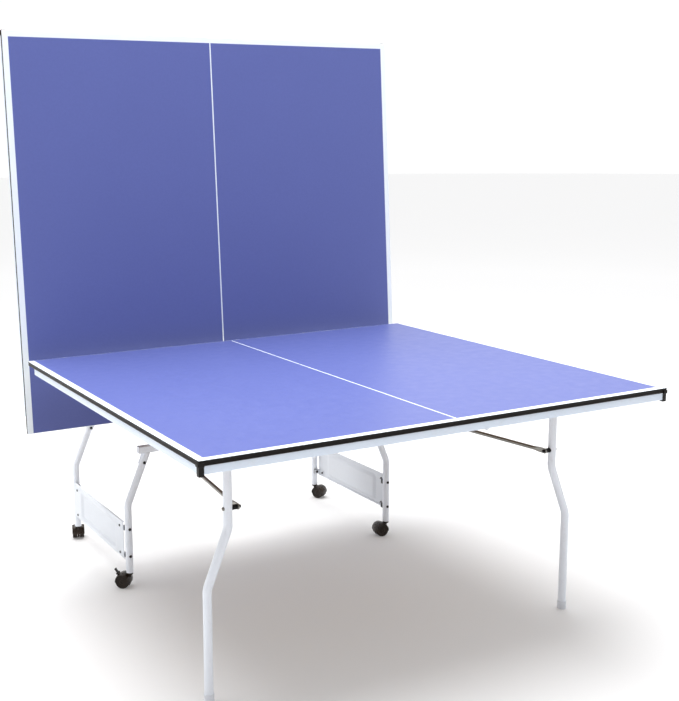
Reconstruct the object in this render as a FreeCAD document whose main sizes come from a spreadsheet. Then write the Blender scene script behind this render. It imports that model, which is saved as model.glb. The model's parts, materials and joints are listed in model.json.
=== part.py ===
import FreeCAD, Part
import math
import os
import re
import Sketcher

# Roll-away table tennis table, millimetres. One half is level, ready for play, and the other
# stands upright behind the net line as a rebound board.
#
# Model frame: X across the table, Y along it (the level half towards -Y), Z up from the floor.
# The origin is under the middle of the whole object, so the net line lies at y = net_y.
# Each half and its links are drawn in a frame of their own, with its origin on the half's
# pivot, +Y from the net line outwards and +Z up when the half is level, and are then placed.

Vector = FreeCAD.Vector
Rotation = FreeCAD.Rotation
Placement = FreeCAD.Placement

DIMENSIONS = [
    # alias, millimetres (degrees for angles), meaning
    ("table_height", 760, "floor to playing surface"),
    ("half_length", 1370, "net line to end line"),
    ("half_width", 762.5, "centre line to side line"),
    ("net_y", 526.7, "net line, from the middle of the whole object"),
    ("net_gap", 6.5, "net line to the near edge of a half"),
    ("board", 15, "board thickness"),
    ("band", 2, "edge band thickness"),
    ("band_groove", 0.7, "depth of the groove along the edge band"),
    ("band_groove_width", 4, "width of the groove along the edge band"),
    ("rail_inset", 3, "board edge to the face of the rail under it"),
    ("rail_height", 22, "rail height"),
    ("rail_depth", 22, "width of a rail's top flange"),
    ("rail_lip", 10, "width of a rail's bottom lip"),
    ("rail_sheet", 1.5, "rail sheet thickness"),
    ("rail_start", 60, "near edge of a half to its side rails"),
    ("cap_leg", 11, "corner cap, along each rail from the corner"),
    ("cap_proud", 2.5, "wall of a corner cap, in front of a rail or of the edge band"),
    ("cap_sole", 4.5, "thickness of a corner cap under the rails"),
    ("cap_lap", 8, "corner cap, above the underside of the board"),
    ("cap_ledge", 2, "height of the step under the edge band"),
    ("cap_bevel", 2, "bevel of a corner cap's upright edge"),
    ("screw_head", 3.5, "radius of a board screw's head"),
    ("screw_head_height", 2.2, "height of a board screw's head"),
    ("screw_shank", 1.8, "radius of a board screw's shank"),
    ("screw_cover", 5, "board left above a screw's point"),
    ("screw_edge", 7, "board screws, from the inner edge of a rail's flange"),
    ("screw_end", 40, "first board screw, from the end of a side rail"),
    ("screw_corner", 82, "outer screw of an end rail, from its corner"),
    ("beam_screw", 200, "inner screws of a hinge beam, from its middle"),
    ("fold_angle", 86, "turn of a half from level to upright"),
    ("pivot_out", 163, "net line to a half's pivot"),
    ("pivot_drop", 117, "playing surface to a half's pivot"),
    ("crank", 115, "pivot to link pin, the short side of the parallelogram"),
    ("leg_out", 1110, "net line to the end legs"),
    ("leg_drop", 110, "playing surface to the end legs' hinge tube"),
    ("tube", 25, "leg tube diameter"),
    ("tube_wall", 1.2, "leg tube wall thickness"),
    ("bend", 60, "centre line radius of a leg bend"),
    ("running", 0.05, "radial clearance of a pin that turns"),
    ("beam_width", 30, "hinge beam width"),
    ("beam_height", 20, "hinge beam height"),
    ("beam_half", 700, "half the length of a hinge beam"),
    ("plate", 5, "pivot plate and hinge ear thickness"),
    ("ear_x", 370, "inner face of a hinge ear"),
    ("ear_half", 25, "half the width of an ear, and its end radius"),
    ("plate_x", 384.5, "inner face of a pivot plate"),
    ("pivot_pin", 5, "radius of the pivot pins"),
    ("head_radius", 8, "radius of a pivot pin's head"),
    ("head_height", 5, "height of a pivot pin's head"),
    ("hanger_x", 300, "middle of a leg hanger"),
    ("hanger_half", 17, "half the width of a leg hanger, and its end radius"),
    ("foot_plate", 4, "thickness of a hanger's foot plate"),
    ("foot_half", 30, "half the length of a hanger's foot plate"),
    ("foot_screw_x", 9, "screws of a foot plate, across, from its middle"),
    ("foot_screw_y", 25, "screws of a foot plate, along, from its middle"),
    ("end_leg_top_x", 562, "end leg, across, above its bends"),
    ("end_leg_foot_x", 626, "end leg, across, below its bends"),
    ("end_leg_knee", 320, "height of the lower bend of an end leg"),
    ("end_leg_hip", 480, "height of the upper bend of an end leg"),
    ("end_leg_over", 14, "end leg, above the hinge tube's axis"),
    ("foot_height", 26, "height of a foot cap"),
    ("foot_wall", 2, "foot cap wall thickness"),
    ("foot_floor", 4, "thickness of a foot cap's sole"),
    ("link_pin_x", 415, "inner face of a link where it joins the undercarriage"),
    ("link_leg_x", 530, "inner face of a link where it joins a leg"),
    ("link_plate", 4, "thickness of a link's flattened end"),
    ("link_eye", 8.5, "half the height of a link's flattened end"),
    ("link_flat", 34, "length of a link's flattened end, from the eye"),
    ("link_bar", 6, "radius of a link between its ends"),
    ("link_bolt", 4, "radius of the bolt that joins a link to a leg"),
    ("link_slack", 0.5, "radial play of that bolt in the link"),
    ("link_head", 5.5, "radius of that bolt's head and nut"),
    ("link_head_height", 5, "height of that bolt's head and nut"),
    ("link_spacer", 7, "radius of the spacer between a link and a leg"),
    ("bolt_past", 2, "how far a bolt shows past its nut"),
    ("play", 0.3, "end play of parts that turn"),
    ("over", 1, "how far a cut passes the face it opens"),
    ("wheel_leg_x", 520, "undercarriage leg, across, below its bend"),
    ("wheel_leg_y", 265, "undercarriage leg, along, from the net line"),
    ("wheel_leg_foot", 53, "height of the lower end of an undercarriage leg"),
    ("wheel_leg_knee", 290, "height of an undercarriage leg's bend"),
    ("wheel_leg_lean", 76, "lean of an undercarriage leg, from its bend to lean_top"),
    ("lean_top", 470, "height up to which the lean is measured"),
    ("side_rail_x", 387, "middle of a side rail"),
    ("side_rail_z", 462, "underside of a side rail"),
    ("side_rail_width", 40, "side rail width"),
    ("side_rail_height", 24, "side rail height"),
    ("box_wall", 1.5, "wall of the rectangular tubes"),
    ("cross_size", 24, "side of a cross tube"),
    ("cross_half", 464, "half the length of a cross tube"),
    ("plug_wall", 3, "thickness of a tube plug's head"),
    ("plug_depth", 12, "length of a tube plug inside its tube"),
    ("tab_height", 42, "height of a leg tab under a cross tube"),
    ("tab_half", 11, "half the width of a leg tab"),
    ("tab_sheet", 3, "thickness of a leg tab"),
    ("tab_gap", 0.2, "gap between a leg tab and its leg"),
    ("tab_bolt_z", 430, "height of the bolt through a leg tab"),
    ("plate_half", 45, "half the width of a pivot plate's foot"),
    ("panel_x", 534, "outer face of a side panel"),
    ("panel_half", 250, "half the length of a side panel"),
    ("panel_low", 98, "lower edge of a side panel"),
    ("panel_height", 130, "side panel height"),
    ("panel_flange", 6, "depth of a side panel's flanges"),
    ("panel_sheet", 1.5, "side panel sheet thickness"),
    ("field_half", 180, "half the length of the panel's sunk field"),
    ("field_low", 13, "lower edge of the field, above the panel's"),
    ("field_height", 104, "height of the panel's sunk field"),
    ("field_depth", 3, "depth of the panel's sunk field"),
    ("tray_half", 160, "half the length of the tray sunk again inside that field"),
    ("tray_low", 20, "lower edge of the tray, above the panel's"),
    ("tray_height", 76, "height of the tray"),
    ("tray_depth", 6, "depth of the tray, below the panel's face"),
    ("field_corner", 12, "corner radius of the field and of the tray"),
    ("bolt_low", 112, "height of the lower panel bolts"),
    ("bolt_high", 207, "height of the upper panel bolts"),
    ("screw_y", 218, "panel screws, from the net line"),
    ("panel_screw", 2, "radius of the panel screws"),
    ("panel_screw_head", 4.5, "radius of their heads"),
    ("panel_screw_height", 2.5, "height of their heads"),
    ("panel_screw_length", 10, "length of their shanks"),
    ("bracket_half", 9, "half the height of a panel bracket"),
    ("bracket_along", 38, "arm of a bracket on the panel"),
    ("bracket_across", 24, "arm of a bracket across the leg"),
    ("saddle_half", 9, "half the width of a saddle washer"),
    ("saddle_depth", 8.5, "depth of a saddle washer"),
    ("bracket_y", 247, "outer face of a panel bracket, from the net line"),
    ("small_bolt", 3, "radius of the panel bolts"),
    ("small_head", 5.5, "radius of their heads and nuts"),
    ("small_head_height", 4, "height of their heads and nuts"),
    ("wheel_radius", 24, "caster wheel radius"),
    ("wheel_trail", 22, "caster stem to wheel axle, level"),
    ("wheel_pad", 21.5, "half the width of a caster's pair of wheels"),
    ("wheel_gap", 5, "half the gap between a caster's two wheels"),
    ("wheel_rim", 4, "width of a wheel's rim"),
    ("wheel_dish", 1, "depth of a wheel's dished face"),
    ("tread_bevel", 1.5, "bevel at the outer edge of a wheel's tread"),
    ("hub_radius", 6, "radius of a wheel's hub"),
    ("hub_proud", 0.5, "hub, outside the rim's face"),
    ("axle", 3, "caster axle radius"),
    ("hood_half", 23, "half the width of a caster's hood"),
    ("hood_inner", 25, "inner radius of a caster's hood"),
    ("hood_outer", 27.5, "outer radius of a caster's hood"),
    ("hood_low", 4, "lower edge of a caster's hood, below the axle"),
    ("web_gap", 1, "gap between a caster's web and each of its wheels"),
    ("web_floor", 4, "floor to the lower edge of a caster's web"),
    ("boss_radius", 11, "radius of the boss under a caster's stem"),
    ("boss_low", 46.5, "floor to the lower end of that boss"),
    ("boss_gap", 0.5, "gap between that boss and the leg"),
    ("stem_length", 35, "caster stem inside the leg"),
    ("lever_reach", 31.1, "caster axle to brake lever hinge"),
    ("lever_angle", 50, "angle of that line above the level"),
    ("lever_slope", 58, "slope of a brake lever that is off"),
    ("lever_half", 6, "half the width of a brake lever"),
    ("lever_length", 16, "brake lever length"),
    ("lever_sheet", 3, "thickness of a brake lever"),
    ("lever_tip", 2.2, "radius of a brake lever's tip"),
    ("lever_knuckle", 3.2, "radius of a brake lever's knuckle"),
    ("lever_pin", 1.5, "radius of a brake lever's pins"),
    ("lever_ear", 3, "thickness of the ears that hold a brake lever"),
    ("lever_ear_radius", 4.2, "radius of those ears"),
]
ALIASES = {alias for alias, number, meaning in DIMENSIONS}

# Where each caster trails at rest, in degrees from +X, and which casters have a brake.
CASTERS = {
    "front_left": (-1, -1, 140),
    "front_right": (1, -1, 172),
    "rear_left": (-1, 1, 72),
    "rear_right": (1, 1, -59),
}
BRAKED = ("front_left", "rear_left")

doc = FreeCAD.newDocument("table_tennis_table")
sheet = doc.addObject("Spreadsheet::Sheet", "Dims")
for row, (alias, number, meaning) in enumerate(DIMENSIONS, start=1):
    sheet.set("A%d" % row, meaning)
    sheet.set("B%d" % row, str(number))
    sheet.setAlias("B%d" % row, alias)
doc.recompute()

NODES = []


# ---- sizes from the sheet -------------------------------------------------------------

def bound(text):
    """An expression in aliases, as the document writes it."""
    def qualify(word):
        return "Dims." + word.group() if word.group() in ALIASES else word.group()
    return re.sub(r"[a-z_]+", qualify, str(text))


def value(text):
    return float(sheet.evalExpression(bound(text)))


def point(at):
    return Vector(*[value(text) for text in at])


def drive(item, **sizes):
    for name, text in sizes.items():
        item.setExpression(name, bound(text))
    return item


# ---- solids ---------------------------------------------------------------------------

ALONG = {
    "x": Rotation(Vector(0, 1, 0), 90),
    "y": Rotation(Vector(1, 0, 0), -90),
    "z": Rotation(),
}


def box(size, at):
    item = doc.addObject("Part::Box", "Block")
    drive(item, Length=size[0], Width=size[1], Height=size[2])
    item.Placement = Placement(point(at), Rotation())
    return item


def span_box(xs, ys, zs):
    """A box from its lowest and highest x, y and z."""
    size = ["(%s) - (%s)" % (high, low) for low, high in (xs, ys, zs)]
    return box(size, (xs[0], ys[0], zs[0]))


def mirrored_span(side, low, high):
    """The span low..high on the +X side, or its mirror image."""
    return (low, high) if side > 0 else ("-1 * (%s)" % high, "-1 * (%s)" % low)


def rod(radius, start, end, across, along="x"):
    """A cylinder from start to end along one axis; across is its place on the other two."""
    low, high = sorted((start, end), key=value)
    item = doc.addObject("Part::Cylinder", "Rod")
    drive(item, Radius=radius, Height="(%s) - (%s)" % (high, low))
    at = list(across)
    at.insert("xyz".index(along), low)
    item.Placement = Placement(point(at), ALONG[along])
    return item


def mirrored_rod(side, radius, low, high, across):
    start, end = mirrored_span(side, low, high)
    return rod(radius, start, end, across)


def joined(items, kind="Part::MultiFuse"):
    """One solid of several, or, as a Part::Compound, one group of separate solids."""
    if len(items) == 1:
        return items[0]
    item = doc.addObject(kind, "Joined")
    if kind == "Part::Compound":
        item.Links = items
    else:
        item.Shapes = items
    return item


def grouped(items):
    return joined(items, "Part::Compound")


def cut(base, *tools):
    item = doc.addObject("Part::Cut", "Cut")
    item.Base = base
    item.Tool = grouped(list(tools))
    return item


# ---- bodies made from sketches --------------------------------------------------------

def sketch_on(body, role):
    sketch = body.newObject("Sketcher::SketchObject", "Sketch")
    planes = [item for item in body.Origin.OriginFeatures if item.Role == role]
    sketch.AttachmentSupport = (planes[0], [""])
    sketch.MapMode = "FlatFace"
    return sketch


def dimension(sketch, kind, *geometry, size):
    index = sketch.addConstraint(Sketcher.Constraint(kind, *geometry, value(size)))
    sketch.setExpression("Constraints[%d]" % index, bound(size))


def pin_point(sketch, geometry, end, at):
    dimension(sketch, "DistanceX", -1, 1, geometry, end, size=at[0])
    dimension(sketch, "DistanceY", -1, 1, geometry, end, size=at[1])


def outline(body, role, corners):
    """A closed outline of straight lines."""
    sketch = sketch_on(body, role)
    points = [point((u, v, 0)) for u, v in corners]
    count = len(corners)
    lines = [sketch.addGeometry(Part.LineSegment(points[i], points[(i + 1) % count]))
             for i in range(count)]
    for i, line in enumerate(lines):
        sketch.addConstraint(Sketcher.Constraint("Coincident", line, 2, lines[(i + 1) % count], 1))
        pin_point(sketch, line, 1, corners[i])
    return sketch


def rings(body, role, diameters):
    sketch = sketch_on(body, role)
    for size in diameters:
        circle = Part.Circle(Vector(), Vector(0, 0, 1), value(size) / 2)
        ring = sketch.addGeometry(circle)
        sketch.addConstraint(Sketcher.Constraint("Coincident", ring, 3, -1, 1))
        dimension(sketch, "Diameter", ring, size=size)
    return sketch


def route(body, role, corners, radius):
    """Straight runs through the corners, with a tangent bend of that radius at each one."""
    sketch = sketch_on(body, role)
    points = [point((u, v, 0)) for u, v in corners]
    bend = value(radius)
    starts = [points[0]]
    ends = []
    arcs = []
    for before, corner, after in zip(points, points[1:], points[2:]):
        arriving = (corner - before).normalize()
        leaving = (after - corner).normalize()
        trim = bend * math.tan(arriving.getAngle(leaving) / 2)
        enter = corner - arriving * trim
        leave = corner + leaving * trim
        left = arriving.cross(leaving).z > 0
        inward = Vector(-arriving.y, arriving.x, 0) * (bend if left else -bend)
        arcs.append((enter + inward, enter, leave, left))
        ends.append(enter)
        starts.append(leave)
    ends.append(points[-1])
    lines = [sketch.addGeometry(Part.LineSegment(a, b)) for a, b in zip(starts, ends)]
    for i, (centre, enter, leave, left) in enumerate(arcs):
        first, last = (enter, leave) if left else (leave, enter)
        angles = [math.atan2(tip.y - centre.y, tip.x - centre.x) for tip in (first, last)]
        circle = Part.Circle(centre, Vector(0, 0, 1), bend)
        arc = sketch.addGeometry(Part.ArcOfCircle(circle, *angles))
        entry, departure = (1, 2) if left else (2, 1)
        sketch.addConstraint(Sketcher.Constraint("Tangent", lines[i], 2, arc, entry))
        sketch.addConstraint(Sketcher.Constraint("Tangent", arc, departure, lines[i + 1], 1))
        dimension(sketch, "Radius", arc, size=radius)
        mark = sketch.addGeometry(Part.Point(points[i + 1]), True)
        for line in lines[i:i + 2]:
            sketch.addConstraint(Sketcher.Constraint("PointOnObject", mark, 1, line))
        pin_point(sketch, mark, 1, corners[i + 1])
    pin_point(sketch, lines[0], 1, corners[0])
    pin_point(sketch, lines[-1], 2, corners[-1])
    return sketch


def bent_tube(corners, at):
    """A leg tube that starts upwards at the given place and bends in the XZ plane."""
    body = doc.addObject("PartDesign::Body", "Tube")
    ring = rings(body, "XY_Plane", ("tube", "tube - 2 * tube_wall"))
    path = route(body, "XZ_Plane", corners, "bend")
    doc.recompute()
    pipe = body.newObject("PartDesign::AdditivePipe", "Pipe")
    pipe.Profile = ring
    pipe.Spine = (path, ["Edge%d" % (i + 1) for i in range(len(path.Shape.Edges))])
    body.Placement = Placement(point(at), Rotation())
    return body


def padded(role, corners, length, reverse=False):
    """An outline made solid, away from its plane."""
    body = doc.addObject("PartDesign::Body", "Plate")
    pad = body.newObject("PartDesign::Pad", "Pad")
    pad.Profile = outline(body, role, corners)
    pad.Reversed = reverse
    drive(pad, Length=length)
    return body


NEARLY_ONE = 0.99


def rounded_plate(width, height, thickness, radius):
    """A rectangle with round corners, from the origin along +Y and +Z, and thick along +X."""
    corners = (("0", "0"), (width, "0"), (width, height), ("0", height))
    body = padded("YZ_Plane", corners, thickness)
    doc.recompute()
    pad = body.Tip
    edges = ["Edge%d" % (i + 1) for i, edge in enumerate(pad.Shape.Edges)
             if abs(edge.tangentAt(edge.FirstParameter).x) > NEARLY_ONE]
    fillet = body.newObject("PartDesign::Fillet", "Fillet")
    fillet.Base = (pad, edges)
    drive(fillet, Radius=radius)
    return body


def revolved(corners):
    """An outline in radius and height, turned about the Y axis."""
    body = doc.addObject("PartDesign::Body", "Turned")
    sketch = outline(body, "XY_Plane", corners)
    turn = body.newObject("PartDesign::Revolution", "Turn")
    turn.Profile = sketch
    turn.ReferenceAxis = (sketch, ["V_Axis"])
    return body


# ---- nodes and the frames they are drawn in -------------------------------------------

def node(label, item, frame):
    """Name a finished piece and carry it from its own frame to the model's."""
    item.Label = label
    item.Placement = frame.multiply(item.Placement)
    NODES.append(item)


def shifted(x, y, z, turn=Rotation()):
    """A frame at a place measured from the net line."""
    return Placement(point((x, "net_y + (%s)" % y, z)), turn)


TURN_OVER = Rotation(Vector(0, 0, 1), 180)
UPRIGHT = Rotation(Vector(1, 0, 0), value("fold_angle"))
PIVOT_Z = "table_height - pivot_drop"
LINK_PIN_Z = "table_height - pivot_drop - crank"
HINGE_Y = "leg_out - pivot_out"
HINGE_Z = "pivot_drop - leg_drop"
NET_FRAME = shifted("0", "0", "0")
HALF_FRAMES = {
    "front": shifted("0", "-pivot_out", PIVOT_Z, TURN_OVER),
    "rear": shifted("0", "pivot_out", PIVOT_Z, UPRIGHT),
}
LINK_FRAMES = {
    "front": shifted("0", "-pivot_out", LINK_PIN_Z, TURN_OVER),
    "rear": shifted("0", "pivot_out", LINK_PIN_Z, UPRIGHT),
}


def leg_frame_of(half):
    """The leg frame hangs upright from its hinge in both positions of the half."""
    hinge = HALF_FRAMES[half].multVec(point(("0", HINGE_Y, HINGE_Z)))
    return Placement(hinge - Vector(0, 0, value("table_height - leg_drop")), Rotation())


SIDES = {"left": -1, "right": 1}


def local_side(half, side):
    """The front half is turned round, so its own +X side is the table's left."""
    return -side if half == "front" else side


# ---- the halves -----------------------------------------------------------------------

NEAR = "net_gap - pivot_out"
FAR = "half_length - pivot_out"
UNDER = "pivot_drop - board"


def top_board():
    return span_box(("band - half_width", "half_width - band"),
                    ("%s + band" % NEAR, "%s - band" % FAR), (UNDER, "pivot_drop"))


def grooved(strip, xs, ys):
    """An edge strip with a groove along the middle of its outer face."""
    middle = "pivot_drop - board / 2"
    groove = span_box(xs, ys, ("%s - band_groove_width / 2" % middle,
                               "%s + band_groove_width / 2" % middle))
    return cut(strip, groove)


def edge_band():
    strips = []
    heights = (UNDER, "pivot_drop")
    for side in (-1, 1):
        xs = mirrored_span(side, "half_width - band", "half_width")
        strip = span_box(xs, (NEAR, FAR), heights)
        groove_xs = mirrored_span(side, "half_width - band_groove", "half_width + band")
        strips.append(grooved(strip, groove_xs, ("%s - band" % NEAR, "%s + band" % FAR)))
    inner = ("band - half_width", "half_width - band")
    far_strip = span_box(inner, ("%s - band" % FAR, FAR), heights)
    strips.append(grooved(far_strip, inner, ("%s - band_groove" % FAR, "%s + band" % FAR)))
    strips.append(span_box(inner, (NEAR, "%s + band" % NEAR), heights))
    return grouped(strips)


def mitre(corner_y, towards):
    """What a mitred end loses: the wedge past a slanting line through the outer corner."""
    back = "-rail_depth - over"
    tip = "%s + %d * over" % (corner_y, towards)
    inner = "%s - %d * (rail_depth + over)" % (corner_y, towards)
    wedge = padded("XY_Plane", (("over", tip), (back, inner), (back, tip)),
                   "rail_height + 2 * over", reverse=True)
    wedge.Placement = Placement(point(("0", "0", "over")), Rotation())
    return wedge


def rail(length, *mitres):
    """A channel, open inwards: outer face on x = 0, top on z = 0, running along +Y."""
    section = (("0", "0"), ("0", "-rail_height"), ("-rail_lip", "-rail_height"),
               ("-rail_lip", "rail_sheet - rail_height"),
               ("-rail_sheet", "rail_sheet - rail_height"), ("-rail_sheet", "-rail_sheet"),
               ("-rail_depth", "-rail_sheet"), ("-rail_depth", "0"))
    return cut(padded("XZ_Plane", section, length, reverse=True), *mitres)


RAIL_FACE = "half_width - rail_inset"
RAIL_FAR = "half_length - pivot_out - rail_inset"
SIDE_RAIL_LENGTH = "(half_length - net_gap - rail_inset - rail_start)"
END_RAIL_LENGTH = "2 * (half_width - rail_inset)"


def side_rail(side):
    if side > 0:
        item = rail(SIDE_RAIL_LENGTH, mitre(SIDE_RAIL_LENGTH, 1))
        item.Placement = Placement(point((RAIL_FACE, "%s + rail_start" % NEAR, UNDER)), Rotation())
    else:
        item = rail(SIDE_RAIL_LENGTH, mitre("0", -1))
        item.Placement = Placement(point(("rail_inset - half_width", RAIL_FAR, UNDER)), TURN_OVER)
    return item


def end_rail():
    item = rail(END_RAIL_LENGTH, mitre("0", -1), mitre(END_RAIL_LENGTH, 1))
    corner = point(("half_width - rail_inset", RAIL_FAR, UNDER))
    item.Placement = Placement(corner, Rotation(Vector(0, 0, 1), 90))
    return item


def cap_wall(inner, low, high):
    """An upright L round a corner, its inner faces at the given distance from the rails."""
    outer = "%s + cap_proud" % inner
    bevel = "%s + cap_proud - cap_bevel" % inner
    sides = ((outer, "-cap_leg"), (outer, bevel), (bevel, outer), ("-cap_leg", outer),
             ("-cap_leg", inner), (inner, inner), (inner, "-cap_leg"))
    wall = padded("XY_Plane", sides, "(%s) - (%s)" % (high, low))
    wall.Placement = Placement(point(("0", "0", low)), Rotation())
    return wall


def corner_cap(side):
    """A moulding over the mitred corner of two rails, which laps up over the edge band."""
    low = "-rail_height - cap_sole"
    reach = ("-cap_leg", "cap_proud - cap_bevel")
    parts = [cap_wall("0", low, "0"), cap_wall("cap_proud", "-cap_ledge", "0"),
             cap_wall("rail_inset", "-cap_ledge", "cap_lap"),
             span_box(reach, reach, (low, "-rail_height"))]
    cap = joined(parts)
    turn = Rotation() if side > 0 else Rotation(Vector(0, 0, 1), 90)
    x = RAIL_FACE if side > 0 else "rail_inset - half_width"
    cap.Placement = Placement(point((x, RAIL_FAR, UNDER)), turn)
    return cap


def hinge_beam():
    beam_y = ("-beam_width / 2", "beam_width / 2")
    outer = span_box(("-beam_half", "beam_half"), beam_y, ("%s - beam_height" % UNDER, UNDER))
    solids = [outer]
    bores = [span_box(("-beam_half - plate", "beam_half + plate"),
                      ("box_wall - beam_width / 2", "beam_width / 2 - box_wall"),
                      ("%s - beam_height + box_wall" % UNDER, "%s - box_wall" % UNDER))]
    for side in (-1, 1):
        xs = mirrored_span(side, "ear_x", "ear_x + plate")
        solids.append(span_box(xs, ("-ear_half", "ear_half"), ("0", "%s - beam_height" % UNDER)))
        solids.append(rod("ear_half", *xs, ("0", "0")))
        bores.append(mirrored_rod(side, "pivot_pin + running", "ear_x - plate",
                                  "ear_x + 2 * plate", ("0", "0")))
    return cut(joined(solids), *bores)


def leg_hangers():
    hangers = []
    y_low, y_high = "%s - hanger_half" % HINGE_Y, "%s + hanger_half" % HINGE_Y
    for side in (-1, 1):
        xs = mirrored_span(side, "hanger_x - plate / 2", "hanger_x + plate / 2")
        foot_xs = mirrored_span(side, "hanger_x - foot_half / 2", "hanger_x + foot_half / 2")
        web = span_box(xs, (y_low, y_high), (HINGE_Z, "%s - foot_plate" % UNDER))
        end = rod("hanger_half", *xs, (HINGE_Y, HINGE_Z))
        foot = span_box(foot_xs, ("%s - foot_half" % HINGE_Y, "%s + foot_half" % HINGE_Y),
                        ("%s - foot_plate" % UNDER, UNDER))
        bore = mirrored_rod(side, "tube / 2 + running", "hanger_x - plate",
                            "hanger_x + plate", (HINGE_Y, HINGE_Z))
        hangers.append(cut(joined([web, end, foot]), bore))
    return grouped(hangers)


def wood_screw(x, y, z):
    """A pan head under a plate at height z, and a shank that bites into the board."""
    head = rod("screw_head", "%s - screw_head_height" % z, z, (x, y), "z")
    shank = rod("screw_shank", z, "pivot_drop - screw_cover", (x, y), "z")
    return joined([head, shank])


RAIL_SCREWS = 5


def board_screws():
    """The screws of the side rails, the end rail, the leg hangers and the hinge beam."""
    flange = "%s - rail_sheet" % UNDER
    inset = "(rail_inset + rail_depth - screw_edge)"
    gaps = RAIL_SCREWS - 1
    spread = "(%s - screw_end - screw_corner) / %d" % (SIDE_RAIL_LENGTH, gaps)
    screws = []
    for step in range(RAIL_SCREWS):
        y = "%s + rail_start + screw_end + %d * %s" % (NEAR, step, spread)
        screws += [wood_screw("%d * (half_width - %s)" % (side, inset), y, flange)
                   for side in (-1, 1)]
        x = "(half_width - rail_inset - screw_corner) * %d / %d" % (2 * step - gaps, gaps)
        screws.append(wood_screw(x, "half_length - pivot_out - %s" % inset, flange))
    for side in (-1, 1):
        for along in (-1, 1):
            for across in (-1, 1):
                x = "%d * hanger_x + %d * foot_screw_x" % (side, across)
                y = "%s + %d * foot_screw_y" % (HINGE_Y, along)
                screws.append(wood_screw(x, y, "%s - foot_plate" % UNDER))
    for place in (-3, -1, 1, 3):
        screws.append(wood_screw("%d * beam_screw" % place, "0", "%s - beam_height" % UNDER))
    return grouped(screws)


def build_half(half):
    frame = HALF_FRAMES[half]
    node(half + "_top", top_board(), frame)
    node(half + "_edge_band", edge_band(), frame)
    node(half + "_end_rail", end_rail(), frame)
    for name, side in SIDES.items():
        node("%s_%s_rail" % (half, name), side_rail(local_side(half, side)), frame)
    node(half + "_corner_caps", grouped([corner_cap(-1), corner_cap(1)]), frame)
    node(half + "_hinge_beam", hinge_beam(), frame)
    node(half + "_leg_hangers", leg_hangers(), frame)
    node(half + "_board_screws", board_screws(), frame)


# ---- the end legs, drawn from the floor under their hinge tube ------------------------

HINGE_TUBE_Z = "table_height - leg_drop"
LEG_BOLT_Z = "table_height - leg_drop - crank"


def end_leg(side):
    inward = "%d * (end_leg_foot_x - end_leg_top_x)" % -side
    top = "%s + end_leg_over - foot_floor" % HINGE_TUBE_Z
    corners = (("0", "0"), ("0", "end_leg_knee - foot_floor"),
               (inward, "end_leg_hip - foot_floor"), (inward, top))
    tube = bent_tube(corners, ("%d * end_leg_foot_x" % side, "0", "foot_floor"))
    bore = mirrored_rod(side, "link_bolt + running", "end_leg_top_x - tube",
                        "end_leg_top_x + tube", ("0", LEG_BOLT_Z))
    return cut(tube, bore)


def hinge_tube():
    """The cross tube that the end legs swing on, its ends shaped to the legs."""
    reach = ("-end_leg_top_x", "end_leg_top_x")
    across = ("0", HINGE_TUBE_Z)
    hollow = cut(rod("tube / 2", *reach, across), rod("tube / 2 - tube_wall", *reach, across))
    legs = [rod("tube / 2 + running", "%s - tube" % HINGE_TUBE_Z, "%s + tube" % HINGE_TUBE_Z,
                ("%d * end_leg_top_x" % side, "0"), "z") for side in (-1, 1)]
    return cut(hollow, *legs)


def foot_cap(side):
    across = ("%d * end_leg_foot_x" % side, "0")
    outer = rod("tube / 2 + foot_wall", "0", "foot_height", across, "z")
    socket = rod("tube / 2", "foot_floor", "foot_height + foot_wall", across, "z")
    return cut(outer, socket)


def leg_bolt(side):
    """Bolt, head outside, and the spacer that holds the link clear of the leg."""
    across = ("0", LEG_BOLT_Z)
    face = "end_leg_top_x + tube / 2"
    nut_start = "link_leg_x - play - link_head_height"
    nut = mirrored_rod(side, "link_head", nut_start, "link_leg_x - play", across)
    shank = mirrored_rod(side, "link_bolt", "%s - bolt_past" % nut_start, face, across)
    head = mirrored_rod(side, "link_head", face, "%s + link_head_height" % face, across)
    spacer = mirrored_rod(side, "link_spacer", "link_leg_x + link_plate + play", "end_leg_top_x",
                          across)
    tube = rod("tube / 2 + running", "%s - tube" % LEG_BOLT_Z, "%s + tube" % LEG_BOLT_Z,
               ("%d * end_leg_top_x" % side, "0"), "z")
    return joined([nut, shank, head, cut(spacer, tube)])


def build_leg_frame(half):
    frame = leg_frame_of(half)
    for name, side in SIDES.items():
        node("%s_leg_%s" % (half, name), end_leg(side), frame)
    node(half + "_hinge_tube", hinge_tube(), frame)
    node(half + "_foot_caps", grouped([foot_cap(-1), foot_cap(1)]), frame)
    node(half + "_leg_bolts", grouped([leg_bolt(-1), leg_bolt(1)]), frame)


# ---- the links, drawn from the pin on the undercarriage -------------------------------

def link_end(side, inner, eye, towards):
    """A flattened end with an eye; towards is the way to the bar, along Y."""
    y, z = eye
    xs = mirrored_span(side, inner, "%s + link_plate" % inner)
    ys = sorted((y, "%s + %d * link_flat" % (y, towards)), key=value)
    zs = ("%s - link_eye" % z, "%s + link_eye" % z)
    return [span_box(xs, ys, zs), rod("link_eye", *xs, eye)]


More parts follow.
